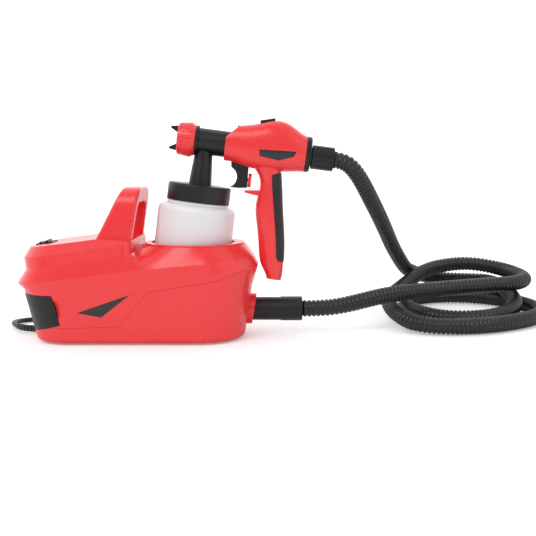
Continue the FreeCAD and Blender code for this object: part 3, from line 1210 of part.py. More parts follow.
def make_cup():
    """Lid with its neck, gasket, pick-up tube and the cup that screws on."""
    low = -LID_TOP - LID_H
    neck_r = LID_R - LID_T - PLAY
    mouth = neck_r - NECK_WALL
    rim = -LID_TOP - LID_T - GASKET_T
    lid = fuse(rod(LID_R, V(0, 0, low), V(0, 0, -LID_TOP)),
               Part.makeCone(NECK_LOW_R, NECK_TOP_R, LID_TOP - NECK_TOP + 1, V(0, 0, -LID_TOP - 1)))
    edge = [e for e in lid.Edges if abs(e.CenterOfMass.z + LID_TOP) < 0.01 and e.Length > 150]
    lid = lid.makeFillet(2.5, edge)
    room = rod(LID_R - LID_T, V(0, 0, low - 1), V(0, 0, -LID_TOP - LID_T))
    bore = rod(TUBE_R + FIT, V(0, 0, low), V(0, 0, -NECK_TOP + 2))
    clear = rod(FLANGE_R + SEAM, V(-60, 0, 0), V(BARREL_FRONT - 1 + FLANGE_T + SEAM, 0, 0))
    ring_room = rod(RING_BELLY_R + PLAY, V(-60, 0, 0), V(BARREL_FRONT - 1, 0, 0))
    lid = lid.cut([room, bore, clear, ring_room, rod(BARREL_R + SEAM, V(-30, 0, 0), V(30, 0, 0))])
    put_gun("cup_lid", lid)
    put_gun("lid_gasket", pipe(neck_r, mouth - 2, V(0, 0, rim), V(0, 0, -LID_TOP - LID_T)))
    tube_foot = CUP_BOTTOM + TUBE_FOOT
    put_gun("feed_tube", pipe(TUBE_R, TUBE_BORE, V(0, 0, tube_foot), V(0, 0, -NECK_TOP + 4)))
    shoulder = low - CUP_RING_H
    r = CUP_R
    k = 1 - math.sqrt(0.5)
    s = CUP_SHOULDER
    b = CUP_BASE_EDGE
    t = CUP_WALL
    points = [V(0, 0, CUP_BOTTOM), V(r - b, 0, CUP_BOTTOM), V(r - b * k, 0, CUP_BOTTOM + b * k),
              V(r, 0, CUP_BOTTOM + b), V(r, 0, shoulder - s), V(r - s * k, 0, shoulder - s * k),
              V(r - s, 0, shoulder)]
    outer = [Part.LineSegment(points[0], points[1]), Part.Arc(*points[1:4]),
             Part.LineSegment(points[3], points[4]),
             Part.Arc(*points[4:7]), Part.LineSegment(points[6], V(CUP_RING_R, 0, shoulder)),
             Part.LineSegment(V(CUP_RING_R, 0, shoulder), V(CUP_RING_R, 0, low - PLAY)),
             Part.LineSegment(V(CUP_RING_R, 0, low - PLAY), V(neck_r - PLAY, 0, low - PLAY)),
             Part.LineSegment(V(neck_r - PLAY, 0, low - PLAY), V(neck_r - PLAY, 0, rim)),
             Part.LineSegment(V(neck_r - PLAY, 0, rim), V(mouth, 0, rim)),
             Part.LineSegment(V(mouth, 0, rim), V(mouth, 0, shoulder - t)),
             Part.LineSegment(V(mouth, 0, shoulder - t), V(r - s, 0, shoulder - t)),
             Part.Arc(V(r - s, 0, shoulder - t), V(r - s + (s - t) * (1 - k), 0, shoulder - t - (s - t) * k),
                      V(r - t, 0, shoulder - s)),
             Part.LineSegment(V(r - t, 0, shoulder - s), V(r - t, 0, CUP_BOTTOM + b)),
             Part.Arc(V(r - t, 0, CUP_BOTTOM + b),
                      V(r - b + (b - t) * (1 - k), 0, CUP_BOTTOM + b - (b - t) * (1 - k)),
                      V(r - b, 0, CUP_BOTTOM + t)),
             Part.LineSegment(V(r - b, 0, CUP_BOTTOM + t), V(0, 0, CUP_BOTTOM + t)),
             Part.LineSegment(V(0, 0, CUP_BOTTOM + t), V(0, 0, CUP_BOTTOM))]
    face = Part.Face(Part.Wire([e.toShape() for e in outer]))
    put_gun("cup", face.revolve(V(0, 0, 0), V(0, 0, 1), 360))


def make_trigger():
    """Trigger with a fork round the needle, its pin, knob and the needle it draws."""
    tip, heel = V(39, 0, -29), V(39, 0, -55.6)
    rear = [heel, V(51, 0, -55.4), V(63, 0, -53.8), V(62, 0, -28), V(61, 0, -13.5), V(47, 0, -13.5),
            V(38, 0, -20.5), tip]
    outline = [Part.Arc(tip, V(48, 0, -42.4), heel)]
    outline = outline + [Part.LineSegment(a, b) for a, b in zip(rear, rear[1:])]
    face = Part.Face(Part.Wire([e.toShape() for e in outline]))
    face.translate(V(0, -TRIGGER_T / 2, 0))
    blade = face.extrude(V(0, TRIGGER_T, 0))
    middles = [(e, e.CenterOfMass) for e in blade.Edges]
    round_edges = [e for e, m in middles if m.z < -30 and abs(m.y) > 1 and m.x < 50]
    blade = blade.makeFillet(2.0, round_edges)
    bar = box(48, 60, -ARM_OUT, ARM_OUT, -16.8, -13.5)
    arms = []
    for side in (-1, 1):
        y0 = min(side * ARM_OUT, side * (ARM_OUT - ARM_T))
        arm = [(49, -16.8), (60, -16.8), (57.5, TRIGGER_W + 3.5), (48.5, TRIGGER_W + 3.5)]
        arms.append(side_prism(arm, y0, y0 + ARM_T))
        arms.append(rod(LUG_R, V(TRIGGER_U, side * LUG_IN, 0), V(TRIGGER_U, side * (ARM_OUT - 1), 0)))
    holes = [rod(TRIGGER_PIN_R + FIT, V(TRIGGER_U, -30, TRIGGER_W), V(TRIGGER_U, 30, TRIGGER_W)),
             rod(2.5 + FIT, V(52, 0, KNOB_W), V(70, 0, KNOB_W))]
    put_gun("trigger", fuse(blade, bar, *arms).cut(holes))
    put_gun("trigger_pin", rod(TRIGGER_PIN_R, V(TRIGGER_U, -18.5, TRIGGER_W), V(TRIGGER_U, 18.5, TRIGGER_W)))
    knob = fuse(rod(KNOB_R, V(63.3, 0, KNOB_W), V(63.3 + KNOB_T, 0, KNOB_W)),
                rod(2.5, V(53, 0, KNOB_W), V(65, 0, KNOB_W)))
    flutes = []
    for i in range(KNOB_FLUTES):
        a = 2 * math.pi * i / KNOB_FLUTES
        spot = V(62, (KNOB_R + 0.5) * math.cos(a), KNOB_W + (KNOB_R + 0.5) * math.sin(a))
        flutes.append(rod(1.2, spot, spot + V(KNOB_T + 2, 0, 0)))
    put_gun("flow_knob", knob.cut(flutes))
    needle = fuse(rod(NEEDLE_R, V(-33, 0, 0), V(NEEDLE_END, 0, 0)),
                  rod(COLLAR_R, V(COLLAR_U, 0, 0), V(COLLAR_U + COLLAR_T, 0, 0)),
                  Part.makeCone(0.4, NEEDLE_R, 3.5, V(-36.5, 0, 0), V(1, 0, 0)))
    put_gun("needle", needle)
    put_gun("needle_spring", pipe(5.0, 3.4, V(COLLAR_U + COLLAR_T + 2.0, 0, 0), V(84.0, 0, 0)))
    button = fuse(box(41, 44, -BUTTON_W / 2, BUTTON_W / 2, 14, 26.6),
                  box(40, 45, -BUTTON_W / 2 - 1.5, BUTTON_W / 2 + 1.5, 13.5, 16))
    put_gun("release_button", button)


make_housings()
make_feet()
put("carry_handle", make_handle())
make_filter()
make_well()
make_switch()
make_turbine()
make_motor()
make_duct()
make_socket()
make_relief()
make_cord()
make_hose()
make_gun_shell()
make_gun_rear()
make_barrel()
make_cup()
make_trigger()

# The origin is under the middle of the object without its cords, on the ground
left_end = min(s.BoundBox.XMin for n, s in pieces.items() if n not in cord_pieces)
right_end = max(s.BoundBox.XMax for n, s in pieces.items() if n not in cord_pieces)
centre = (left_end + right_end) / 2
print("middle of the object", round(centre, 3))
for name, shape in pieces.items():
    shape.translate(V(-centre, 0, 0))
    shape.exportStep("parts/" + name + ".step")
print("sub-parts", len(pieces))
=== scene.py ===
import math

import bmesh
import bpy
from bpy.props import FloatProperty, FloatVectorProperty, IntProperty, PointerProperty
from mathutils import Matrix, Vector


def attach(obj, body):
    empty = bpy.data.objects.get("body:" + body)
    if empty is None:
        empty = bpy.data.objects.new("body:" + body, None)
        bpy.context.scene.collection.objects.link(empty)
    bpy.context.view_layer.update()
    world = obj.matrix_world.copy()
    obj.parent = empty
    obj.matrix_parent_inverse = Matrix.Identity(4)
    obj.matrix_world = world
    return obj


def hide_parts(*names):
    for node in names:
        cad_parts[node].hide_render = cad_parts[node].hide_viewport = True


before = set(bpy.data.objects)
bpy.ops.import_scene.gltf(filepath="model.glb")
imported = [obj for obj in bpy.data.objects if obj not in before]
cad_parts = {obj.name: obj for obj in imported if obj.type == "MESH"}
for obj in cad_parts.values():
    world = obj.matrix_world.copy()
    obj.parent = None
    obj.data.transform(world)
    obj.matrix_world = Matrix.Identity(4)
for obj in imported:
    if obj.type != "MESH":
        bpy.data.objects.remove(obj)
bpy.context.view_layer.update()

bl_info = {
    "name": "Turbine Paint Sprayer",
    "version": (1, 0, 0),
    "blender": (4, 5, 0),
    "location": "View3D > Sidebar > Sprayer",
    "description": "Hose, cord, small trim and finishes of a turbine paint sprayer",
    "category": "Object",
}

# The part's own frame starts this far to the right of the middle of the base, in millimetres
MIDDLE = 51.309

# Gun frame: it leans with the cup, u runs back along the barrel and w up
TILT = math.radians(7.3)
UP = Vector((math.sin(TILT), 0, math.cos(TILT)))
BACK = Vector((math.cos(TILT), 0, -math.sin(TILT)))
CUP_SEAT = Vector((63.6, 0, 67.1))
CUP_TO_BARREL = 195.5

# Air hose: points of its way, with the heading at each mark of its loops
SOCKET_Z = 35.5
CUFF_END = 219.0
LEAD_ROUTE = ((CUFF_END, 0.0, SOCKET_Z), (250.0, 0.0, SOCKET_Z), (284.0, 6.5, 40.0),
              (318.0, 20.0, 46.5), (352.0, 37.75, 50.25))
COIL_MARKS = (
    ((407.0, 61.5, 51.5), (44.0, 19.0, 1.0)), ((572.0, 185.0, 56.0), (0.0, 1.0, 0.05)),
    ((480.0, 250.0, 66.0), (-1.0, -0.05, -0.08)), ((407.0, 211.0, 48.0), (-0.62, -0.78, -0.28)),
    ((352.0, 80.0, 25.0), (0.0, -1.0, -0.12)), ((408.0, -8.0, 12.2), (1.0, 0.0, 0.0)),
    ((582.0, 140.0, 12.2), (0.0, 1.0, 0.0)), ((470.0, 250.0, 12.2), (-1.0, 0.0, 0.0)),
    ((388.0, 150.0, 12.2), (0.0, -1.0, 0.0)), ((460.0, 50.0, 12.2), (1.0, 0.0, 0.02)),
    ((551.0, 150.0, 28.0), (0.0, 1.0, 0.2)), ((503.0, 269.0, 37.5), (-1.0, 0.08, 0.0)),
    ((424.0, 263.0, 49.0), (-0.86, -0.37, 0.35)), ((396.0, 233.0, 65.0), (-0.36, -0.82, 0.44)),
)
RISER_ROUTE = ((373.5, 181.0, 94.0), (360.0, 146.0, 113.5), (346.0, 107.0, 136.0),
               (330.0, 68.0, 161.0), (314.5, 36.0, 184.5), (301.5, 14.0, 205.0), (288.5, 3.5, 223.5))
NUT_REAR = (173.3, -2.0)
RISER_RUN = 14.0
RIB_EDGE = 0.0003

# Power cord: bend protector, way along the floor and a neat coil behind the base
CORD_EXIT = Vector((-141.5, 0, 7.3))
RELIEF_BEND = 42.0
RELIEF_TURN = math.radians(54.6)
RELIEF_START_R = 4.8
RELIEF_END_R = 4.0
RELIEF_COLLARS = 8
RELIEF_GROOVE = 0.0011
CORD_RUN = 25.0
CORD_R = 3.5
COIL_Z = 3.7
CORD_ROUTE = ((-192.0, 64.0, 5.0), (-178.0, 85.0, COIL_Z), (-152.0, 93.5, COIL_Z),
              (-122.0, 92.8, COIL_Z), (-91.0, 91.9, COIL_Z))
COIL_MIDDLE = Vector((-60.0, 146.0, 0))
COIL_INNER = 31.0
COIL_PITCH = 7.7
COIL_TURNS = 3
POINTS_PER_TURN = 12
TAIL_STEPS = ((0, 0, 0), (22, 0, 0), (46, 1, -3.2), (70, 5, -5.7), (93, 13, -5.7))

# Outlines of the two dark plates seen from the front: the base's in x and z, the gun's in u and w
BASE_PLATE = ((-71.1, 42.9), (-40.4, 37.3), (-2.8, 66.5))
GUN_PLATE = ((73.3, -1.3), (74.4, -9.6), (100.3, -12.6), (119.4, -5.4), (122.4, 1.7))
# How much of a plate stands out of its skin, from -1 to 1, and how far its faces may turn from the front
PLATE_OFFSET = -0.4
PLATE_FACING = -0.4

# Camera: focal length and picture width in pixels, place along X and downward tilt
FOCAL_PIXELS = 815.0
PICTURE_PIXELS = 536.0
CAMERA_X = 172.4
CAMERA_TILT = math.radians(7.2)

# Studio: name, place, strength and angular width of each lamp, then the light of the surroundings
LAMPS = (("key", (-0.9, -1.4, 1.4), 1.3, 40), ("fill", (1.4, -1.3, 0.7), 0.5, 60))
FRONT_LIGHT = 0.3
BACK_LIGHT = 1.4
FLOOR_GLOW = 0.25
FLOOR_REACH = 9.0

# Rocker switch on the sloping hood: slope of the panel, pivot, lean and the height of its faces
PANEL_SLOPE = math.atan(18.0 / 138.0)
SWITCH_X = -127.0
SWITCH_ABOVE = 15.0
HOOD_LEFT_TOP = 123.5
ROCKER_DROP = 8.0
ROCKER_PIVOT = Vector((SWITCH_X + ROCKER_DROP * math.sin(PANEL_SLOPE), 0,
                       HOOD_LEFT_TOP + SWITCH_ABOVE * math.tan(PANEL_SLOPE)
                       - ROCKER_DROP * math.cos(PANEL_SLOPE)))
ROCKER_LEAN = math.radians(8.0)
ROCKER_VALLEY = 9.8
ROCKER_PEAK = 12.1
ROCKER_REACH = 5.5
MARK_LINE = (0.7, 5.0, 0.1)
MARK_RING = (1.3, 2.0)
MARK_HALF = 0.05

# Width in millimetres of the clouds in a colour and of the smears in a gloss
CLOUD = 45
SMEAR = 14


def linear(code):
    """An sRGB hex colour as linear red, green, blue and alpha."""
    shares = [int(code[i:i + 2], 16) / 255 for i in (1, 3, 5)]
    return tuple(s / 12.92 if s <= 0.04045 else ((s + 0.055) / 1.055) ** 2.4 for s in shares) + (1.0,)


def colour(label, about, code):
    return FloatVectorProperty(name=label, description=about, subtype="COLOR", size=4, min=0, max=1,
                               default=linear(code))


def length(label, about, value):
    return FloatProperty(name=label, description=about, subtype="DISTANCE", unit="LENGTH", default=value)


class SprayerSizes(bpy.types.PropertyGroup):
    """Sizes of what the operators make."""
    hose_crest: length("Hose crest", "Radius of the hose over its ribs", 0.0115)
    hose_root: length("Hose root", "Radius of the hose between its ribs", 0.0101)
    rib_pitch: length("Rib pitch", "Distance from one rib of the hose to the next", 0.0061)
    hose_sides: IntProperty(name="Hose sides", description="Faces round the hose", default=24, min=12,
                            max=40)
    cord_radius: length("Cord radius", "Radius of the power cord", CORD_R / 1000)
    plate_thickness: length("Plate thickness", "Thickness of the two dark plates", 0.0004)
    camera_distance: length("Camera distance", "From the lens to the middle plane of the object", 1.1)
    camera_height: length("Camera height", "Height of the lens above the floor", 0.23)


class SprayerColours(bpy.types.PropertyGroup):
    """Colours of the finishes."""
    red_shell: colour("Red shell", "Moulded red of the base and the gun", "#EC3336")
    black_trim: colour("Black trim", "Moulded black of lid, barrel and trigger", "#101012")
    hose_black: colour("Hose black", "Blown black of the hose", "#151517")
    rubber_black: colour("Rubber black", "Soft grip, feet and cord", "#18191A")
    cup_white: colour("Cup white", "Milky plastic of the paint cup", "#E8E7EA")
    plate_black: colour("Plate black", "Dark plates on base and gun", "#151214")
    floor_white: colour("Floor", "Pale floor", "#F4F4F5")


def mm(x, y, z):
    """A point of the part's own frame, given in millimetres, as metres in the shared frame."""
    return Vector((x - MIDDLE, y, z)) / 1000


def in_gun(u, w, y=0.0):
    """A point of the gun's frame in the shared frame."""
    spot = CUP_SEAT + UP * CUP_TO_BARREL + BACK * u + UP * w
    return mm(spot.x, y, spot.z)


def link(piece):
    bpy.context.scene.collection.objects.link(piece)
    return piece


def mesh_piece(name, bm, smooth=True):
    """Finish a bmesh as an object at the origin."""
    bmesh.ops.recalc_face_normals(bm, faces=bm.faces)
    for face in bm.faces:
        face.smooth = smooth
    data = bpy.data.meshes.new(name)
    bm.to_mesh(data)
    bm.free()
    return link(bpy.data.objects.new(name, data))


def baked(piece):
    """The piece with its modifiers applied, under its own name."""
    shown = piece.evaluated_get(bpy.context.evaluated_depsgraph_get())
    data = bpy.data.meshes.new_from_object(shown)
    name = piece.name
    old = piece.data
    bpy.data.objects.remove(piece)
    bpy.data.meshes.remove(old)
    data.name = name
    return link(bpy.data.objects.new(name, data))


def bent(piece, route):
    """The piece bent along a route and closed at its ends; the route goes."""
    bend = piece.modifiers.new("bend", "CURVE")
    bend.object = route
    bend.deform_axis = "POS_X"
    bpy.context.view_layer.update()
    shaped = baked(piece)
    bm = bmesh.new()
    bm.from_mesh(shaped.data)
    bmesh.ops.holes_fill(bm, edges=[e for e in bm.edges if e.is_boundary], sides=0)
    bmesh.ops.recalc_face_normals(bm, faces=bm.faces)
    bm.to_mesh(shaped.data)
    bm.free()
    bpy.data.objects.remove(route)
    return shaped


def lathe(rings, sides):
    """A tube round X from (x, radius) pairs: one circle, extruded and scaled from ring to ring."""
    bm = bmesh.new()
    x, radius = rings[0]
    turn = Matrix.Rotation(math.pi / 2, 4, "Y")
    made = bmesh.ops.create_circle(bm, cap_ends=False, segments=sides, radius=radius,
                                   matrix=Matrix.Translation((x, 0, 0)) @ turn)
    edges = list({e for v in made["verts"] for e in v.link_edges})
    for next_x, next_radius in rings[1:]:
        grown = bmesh.ops.extrude_edge_only(bm, edges=edges)["geom"]
        verts = [g for g in grown if isinstance(g, bmesh.types.BMVert)]
        edges = [g for g in grown if isinstance(g, bmesh.types.BMEdge)]
        size = next_radius / radius
        bmesh.ops.scale(bm, vec=(1, size, size), verts=verts, space=Matrix.Identity(4))
        bmesh.ops.translate(bm, vec=(next_x - x, 0, 0), verts=verts)
        x, radius = next_x, next_radius
    return bm


def route_curve(name, points, radius=0.0):
    """A smooth line that these points pull on, round if it has a radius."""
    data = bpy.data.curves.new(name, "CURVE")
    data.dimensions = "3D"
    data.resolution_u = 20
    data.bevel_depth = radius
    data.bevel_resolution = 5
    data.use_fill_caps = True
    spline = data.splines.new("NURBS")
    spline.points.add(len(points) - 1)
    for spot, point in zip(points, spline.points):
        point.co = (*spot, 1.0)
    spline.order_u = 3
    spline.use_endpoint_u = True
    return link(bpy.data.objects.new(name, data))


def line_of(curve):
    """Points along a curve that has no section yet."""
    bpy.context.view_layer.update()
    shown = curve.evaluated_get(bpy.context.evaluated_depsgraph_get())
    data = bpy.data.meshes.new_from_object(shown)
    points = [v.co.copy() for v in data.vertices]
    bpy.data.meshes.remove(data)
    return points


def run_length(points):
    """Length of the line through these points."""
    return sum((b - a).length for a, b in zip(points, points[1:]))


def loop_corners(p, heading_p, q, heading_q):
    """The two points between two marks of a loop where the ways out of both meet a common tangent."""
    v = q - p
    t = heading_p + heading_q
    a = 2 * (1 - heading_p.dot(heading_q))
    b = 2 * v.dot(t)
    reach = (-b + math.sqrt(b * b + 4 * a * v.dot(v))) / (2 * a)
    return [p + heading_p * reach, q - heading_q * reach]


def skin_plate(name, source, outline, thickness):
    """A thin plate over part of a moulded skin's front, cut from a copy of it along an outline."""
    bm = bmesh.new()
    bm.from_mesh(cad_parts[source].data)
    bmesh.ops.remove_doubles(bm, verts=bm.verts, dist=0.00001)
    middle = sum(outline, Vector()) / len(outline)
    for a, b in zip(outline, outline[1:] + outline[:1]):
        out = Vector((0, 1, 0)).cross(b - a)
        if out.dot(middle - a) > 0:
            out.negate()
        bmesh.ops.bisect_plane(bm, geom=bm.verts[:] + bm.edges[:] + bm.faces[:], dist=0.000001,
                               plane_co=a, plane_no=out.normalized(), clear_outer=True)
    bm.normal_update()
    hidden = [f for f in bm.faces if f.normal.y > PLATE_FACING]
    bmesh.ops.delete(bm, geom=hidden, context="FACES")
    plate = mesh_piece(name, bm)
    wall = plate.modifiers.new("wall", "SOLIDIFY")
    wall.thickness = thickness
    wall.offset = PLATE_OFFSET
    plate = baked(plate)
    plate.data.set_sharp_from_angle(angle=math.radians(30))
    return plate


def mark_line(bm):
    """A bar across a rocker's face."""
    return bmesh.ops.create_cube(bm, size=1, matrix=Matrix.Diagonal((*MARK_LINE, 1)))["verts"]


def mark_ring(bm):
    """A flat ring, turned from its cut."""
    before = set(bm.verts)
    inner, outer = MARK_RING
    corners = ((inner, -MARK_HALF), (outer, -MARK_HALF), (outer, MARK_HALF), (inner, MARK_HALF))
    wall = [bm.verts.new((x, 0, z)) for x, z in corners]
    edges = [bm.edges.new(pair) for pair in zip(wall, wall[1:] + wall[:1])]
    bmesh.ops.spin(bm, geom=wall + edges, cent=(0, 0, 0), axis=(0, 0, 1), angle=2 * math.pi, steps=32,
                   use_merge=True)
    return [v for v in bm.verts if v not in before]


def node(tree, kind, inputs=None, **settings):
    """Add a shader node; each input is a value or the output that feeds it."""
    made = tree.nodes.new(kind)
    for key, value in settings.items():
        setattr(made, key, value)
    for name, value in (inputs or {}).items():
        socket = made.inputs[name]
        if isinstance(value, bpy.types.NodeSocket):
            tree.links.new(value, socket)
        else:
            socket.default_value = value
    return made


def per_mm(size):
    """Texture scale for a pattern whose grain is this many millimetres wide."""
    return 1000.0 / size


def start_material(name):
    material = bpy.data.materials.get(name)
    if material:
        return material, None, None
    material = bpy.data.materials.new(name)
    material.use_nodes = True
    tree = material.node_tree
    return material, tree, tree.nodes["Principled BSDF"]


def give(shader, values):
    """Set these values on a shader's inputs."""
    for name, value in values.items():
        shader.inputs[name].default_value = value


def wear_and_grain(tree, shader, tint, grain, depth, rough, spread, blotch):
    """Uneven colour, uneven gloss and fine relief, all from the object's own coordinates."""
    place = node(tree, "ShaderNodeTexCoord").outputs["Object"]
    cloud = node(tree, "ShaderNodeTexNoise",
                 {"Vector": place, "Scale": per_mm(CLOUD), "Detail": 3.0, "Roughness": 0.5})
    darker = tuple(c * (1 - blotch) for c in tint[:3]) + (1.0,)
    lighter = tuple(min(1.0, c * (1 + blotch)) for c in tint[:3]) + (1.0,)
    mixed = node(tree, "ShaderNodeMix", {0: cloud.outputs["Fac"], 6: darker, 7: lighter},
                 data_type="RGBA")
    tree.links.new(mixed.outputs[2], shader.inputs["Base Color"])
    smear = node(tree, "ShaderNodeTexNoise", {"Vector": place, "Scale": per_mm(SMEAR), "Detail": 4.0})
    gloss = node(tree, "ShaderNodeMapRange",
                 {"Value": smear.outputs["Fac"], "From Min": 0.3, "From Max": 0.7,
                  "To Min": rough - spread, "To Max": rough + spread})
    tree.links.new(gloss.outputs["Result"], shader.inputs["Roughness"])
    relief = node(tree, "ShaderNodeTexNoise", {"Vector": place, "Scale": per_mm(grain), "Detail": 2.0})
    bump = node(tree, "ShaderNodeBump",
                {"Height": relief.outputs["Fac"], "Strength": 0.35, "Distance": depth})
    tree.links.new(bump.outputs["Normal"], shader.inputs["Normal"])
    return place, bump


def red_abs(colours):
    """ABS moulded in a lightly eroded steel mould: even red, satin gloss that breaks up a little."""
    material, tree, shader = start_material("red_abs_moulded")
    if tree:
        wear_and_grain(tree, shader, colours.red_shell, grain=2.2, depth=0.00005, rough=0.27,
                       spread=0.03, blotch=0.012)
        give(shader, {"IOR": 1.53, "Coat Weight": 0.12, "Coat Roughness": 0.22})
    return material


def black_abs(colours):
    """ABS with carbon black: deep, slightly grey where the light grazes it."""
    material, tree, shader = start_material("black_abs_moulded")
    if tree:
        wear_and_grain(tree, shader, colours.black_trim, grain=1.8, depth=0.0001, rough=0.4, spread=0.06,
                       blotch=0.12)
        give(shader, {"IOR": 1.46})
    return material


def hose_polyethylene(colours):
    """Blow-moulded polyethylene: waxy sheen on the crests of the ribs, dull between them."""
    material, tree, shader = start_material("black_polyethylene_blown")
    if tree:
        wear_and_grain(tree, shader, colours.hose_black, grain=3.0, depth=0.0001, rough=0.36,
                       spread=0.08, blotch=0.15)
        give(shader, {"IOR": 1.51})
    return material


def soft_rubber(colours):
    """Thermoplastic rubber with a pebbled touch: matt, with a dull edge."""
    material, tree, shader = start_material("black_rubber_pebbled")
    if tree:
        place, bump = wear_and_grain(tree, shader, colours.rubber_black, grain=2.0, depth=0.0001,
                                     rough=0.66, spread=0.06, blotch=0.12)
        # Pebbles of 1.6 mm are drawn coarser than the real 0.6 mm, so that they show
        pebble = node(tree, "ShaderNodeTexVoronoi",
                      {"Vector": place, "Scale": per_mm(1.6), "Smoothness": 0.6}, feature="SMOOTH_F1")
        raised = node(tree, "ShaderNodeBump",
                      {"Height": pebble.outputs["Distance"], "Strength": 0.5, "Distance": 0.0003,
                       "Normal": bump.outputs["Normal"]}, invert=True)
        tree.links.new(raised.outputs["Normal"], shader.inputs["Normal"])
        give(shader, {"Sheen Weight": 0.15})
    return material


def cord_pvc(colours):
    """Extruded soft PVC: smooth, dull gloss."""
    material, tree, shader = start_material("black_pvc_extruded")
    if tree:
        wear_and_grain(tree, shader, colours.rubber_black, grain=4.0, depth=0.00008, rough=0.46,
                       spread=0.07, blotch=0.1)
    return material


def cup_polyethylene(colours):
    """Blow-moulded natural polyethylene: milky, light goes in and comes out softened."""
    material, tree, shader = start_material("milky_polyethylene_blown")
    if tree:
        wear_and_grain(tree, shader, colours.cup_white, grain=6.0, depth=0.0001, rough=0.36, spread=0.05,
                       blotch=0.012)
        give(shader, {"IOR": 1.51, "Subsurface Weight": 0.3, "Subsurface Scale": 1.0,
                      "Subsurface Radius": (0.006, 0.0055, 0.0055)})
    return material


def plate_film(colours):
    """Printed film under a clear layer: smooth, dark, glossier than the shell."""
    material, tree, shader = start_material("dark_film_plate")
    if tree:
        wear_and_grain(tree, shader, colours.plate_black, grain=8.0, depth=0.00003, rough=0.24,
                       spread=0.04, blotch=0.1)
        give(shader, {"Coat Weight": 0.3})
    return material


def mark_paint():
    """Pad-printed white ink: thin, matt, a little uneven."""
    material, tree, shader = start_material("white_pad_print")
    if tree:
        wear_and_grain(tree, shader, linear("#E4E4E2"), grain=1.0, depth=0.00002, rough=0.6, spread=0.05,
                       blotch=0.05)
    return material


def filter_sponge():
    """Open-cell polyurethane foam: small dark pores."""
    material, tree, shader = start_material("grey_foam_open_cell")
    if tree:
        place, bump = wear_and_grain(tree, shader, linear("#4A4A4C"), grain=2.0, depth=0.0003,
                                     rough=0.85, spread=0.05, blotch=0.2)
        pores = node(tree, "ShaderNodeTexVoronoi", {"Vector": place, "Scale": per_mm(1.5)})
        hollow = node(tree, "ShaderNodeBump",
                      {"Height": pores.outputs["Distance"], "Strength": 0.9, "Distance": 0.0006,
                       "Normal": bump.outputs["Normal"]})
        tree.links.new(hollow.outputs["Normal"], shader.inputs["Normal"])
    return material


def metal(name, code, rough, grain):
    """Machined metal: fine tool marks that spread the highlight."""
    material, tree, shader = start_material(name)
    if tree:
        wear_and_grain(tree, shader, linear(code), grain=grain, depth=0.00005, rough=rough, spread=0.07,
                       blotch=0.06)
        give(shader, {"Metallic": 1.0})
    return material


def inner_nylon():
    """Glass-filled nylon of the hidden fan housing: dull grey."""
    material, tree, shader = start_material("grey_nylon_filled")
    if tree:
        wear_and_grain(tree, shader, linear("#56585B"), grain=2.5, depth=0.0002, rough=0.55, spread=0.06,
                       blotch=0.08)
    return material


def paint_nodes(material, names):
    for name in names:
        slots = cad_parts[name].data.materials
        slots.clear()
        slots.append(material)


def settings(context):
    return context.scene.sprayer_sizes, context.scene.sprayer_colours


def place_camera(scene, sizes):
    """The photograph's view: level picture, lens above the floor and turned down a little."""
    lens = bpy.data.cameras.new("camera")
    lens.sensor_width = 36.0
    lens.lens = FOCAL_PIXELS / PICTURE_PIXELS * lens.sensor_width
    lens.clip_end = 50.0
    camera = link(bpy.data.objects.new("camera", lens))
    camera.location = ((CAMERA_X - MIDDLE) / 1000, -sizes.camera_distance, sizes.camera_height)
    camera.rotation_euler = (math.radians(90) - CAMERA_TILT, 0, 0)
    scene.camera = camera


def make_floor(colours):
    """Pale floor that takes shadows and runs into the white behind it."""
    bm = bmesh.new()
    bmesh.ops.create_grid(bm, x_segments=1, y_segments=1, size=FLOOR_REACH)
    floor = mesh_piece("floor", bm, False)
    material, tree, shader = start_material("pale_floor")
    give(shader, {"Base Color": colours.floor_white, "Roughness": 0.7, "Specular IOR Level": 0.2})
    rays = node(tree, "ShaderNodeLightPath")
    seen = node(tree, "ShaderNodeMath", {0: rays.outputs["Is Camera Ray"], 1: FLOOR_GLOW},
                operation="MULTIPLY")
    glow = node(tree, "ShaderNodeEmission", {"Color": (1, 1, 1, 1), "Strength": seen.outputs[0]})
    both = node(tree, "ShaderNodeAddShader", {0: shader.outputs[0], 1: glow.outputs[0]})
    tree.links.new(both.outputs[0], tree.nodes["Material Output"].inputs["Surface"])
    floor.data.materials.append(material)


def make_surroundings(scene):
    """White for the eye; what lights the object is bright behind it and dim on the camera's side."""
    world = bpy.data.worlds.new("studio")
    world.use_nodes = True
    tree = world.node_tree
    scene.world = world
    rays = node(tree, "ShaderNodeLightPath").outputs
    shown = node(tree, "ShaderNodeMath", {0: rays["Is Camera Ray"], 1: rays["Is Transmission Ray"]},
                 operation="MAXIMUM")
    heading = node(tree, "ShaderNodeSeparateXYZ",
                   {"Vector": node(tree, "ShaderNodeTexCoord").outputs["Generated"]})
    depth = node(tree, "ShaderNodeMapRange",
                 {"Value": heading.outputs["Y"], "From Min": -0.7, "From Max": 0.7,
                  "To Min": FRONT_LIGHT, "To Max": BACK_LIGHT})
    power = node(tree, "ShaderNodeMath", {0: shown.outputs[0], 1: depth.outputs["Result"]},
                 operation="MAXIMUM")
    background = tree.nodes["Background"]
    background.inputs["Color"].default_value = (1, 1, 1, 1)
    tree.links.new(power.outputs[0], background.inputs["Strength"])


def hang_lamps():
    """Two wide, soft lamps on the camera's side."""
    for name, spot, power, spread in LAMPS:
        lamp = bpy.data.lights.new(name, "SUN")
        lamp.energy = power
        lamp.angle = math.radians(spread)
        holder = link(bpy.data.objects.new(name, lamp))
        holder.location = spot
        holder.rotation_euler = (-Vector(spot)).to_track_quat("-Z", "Y").to_euler()


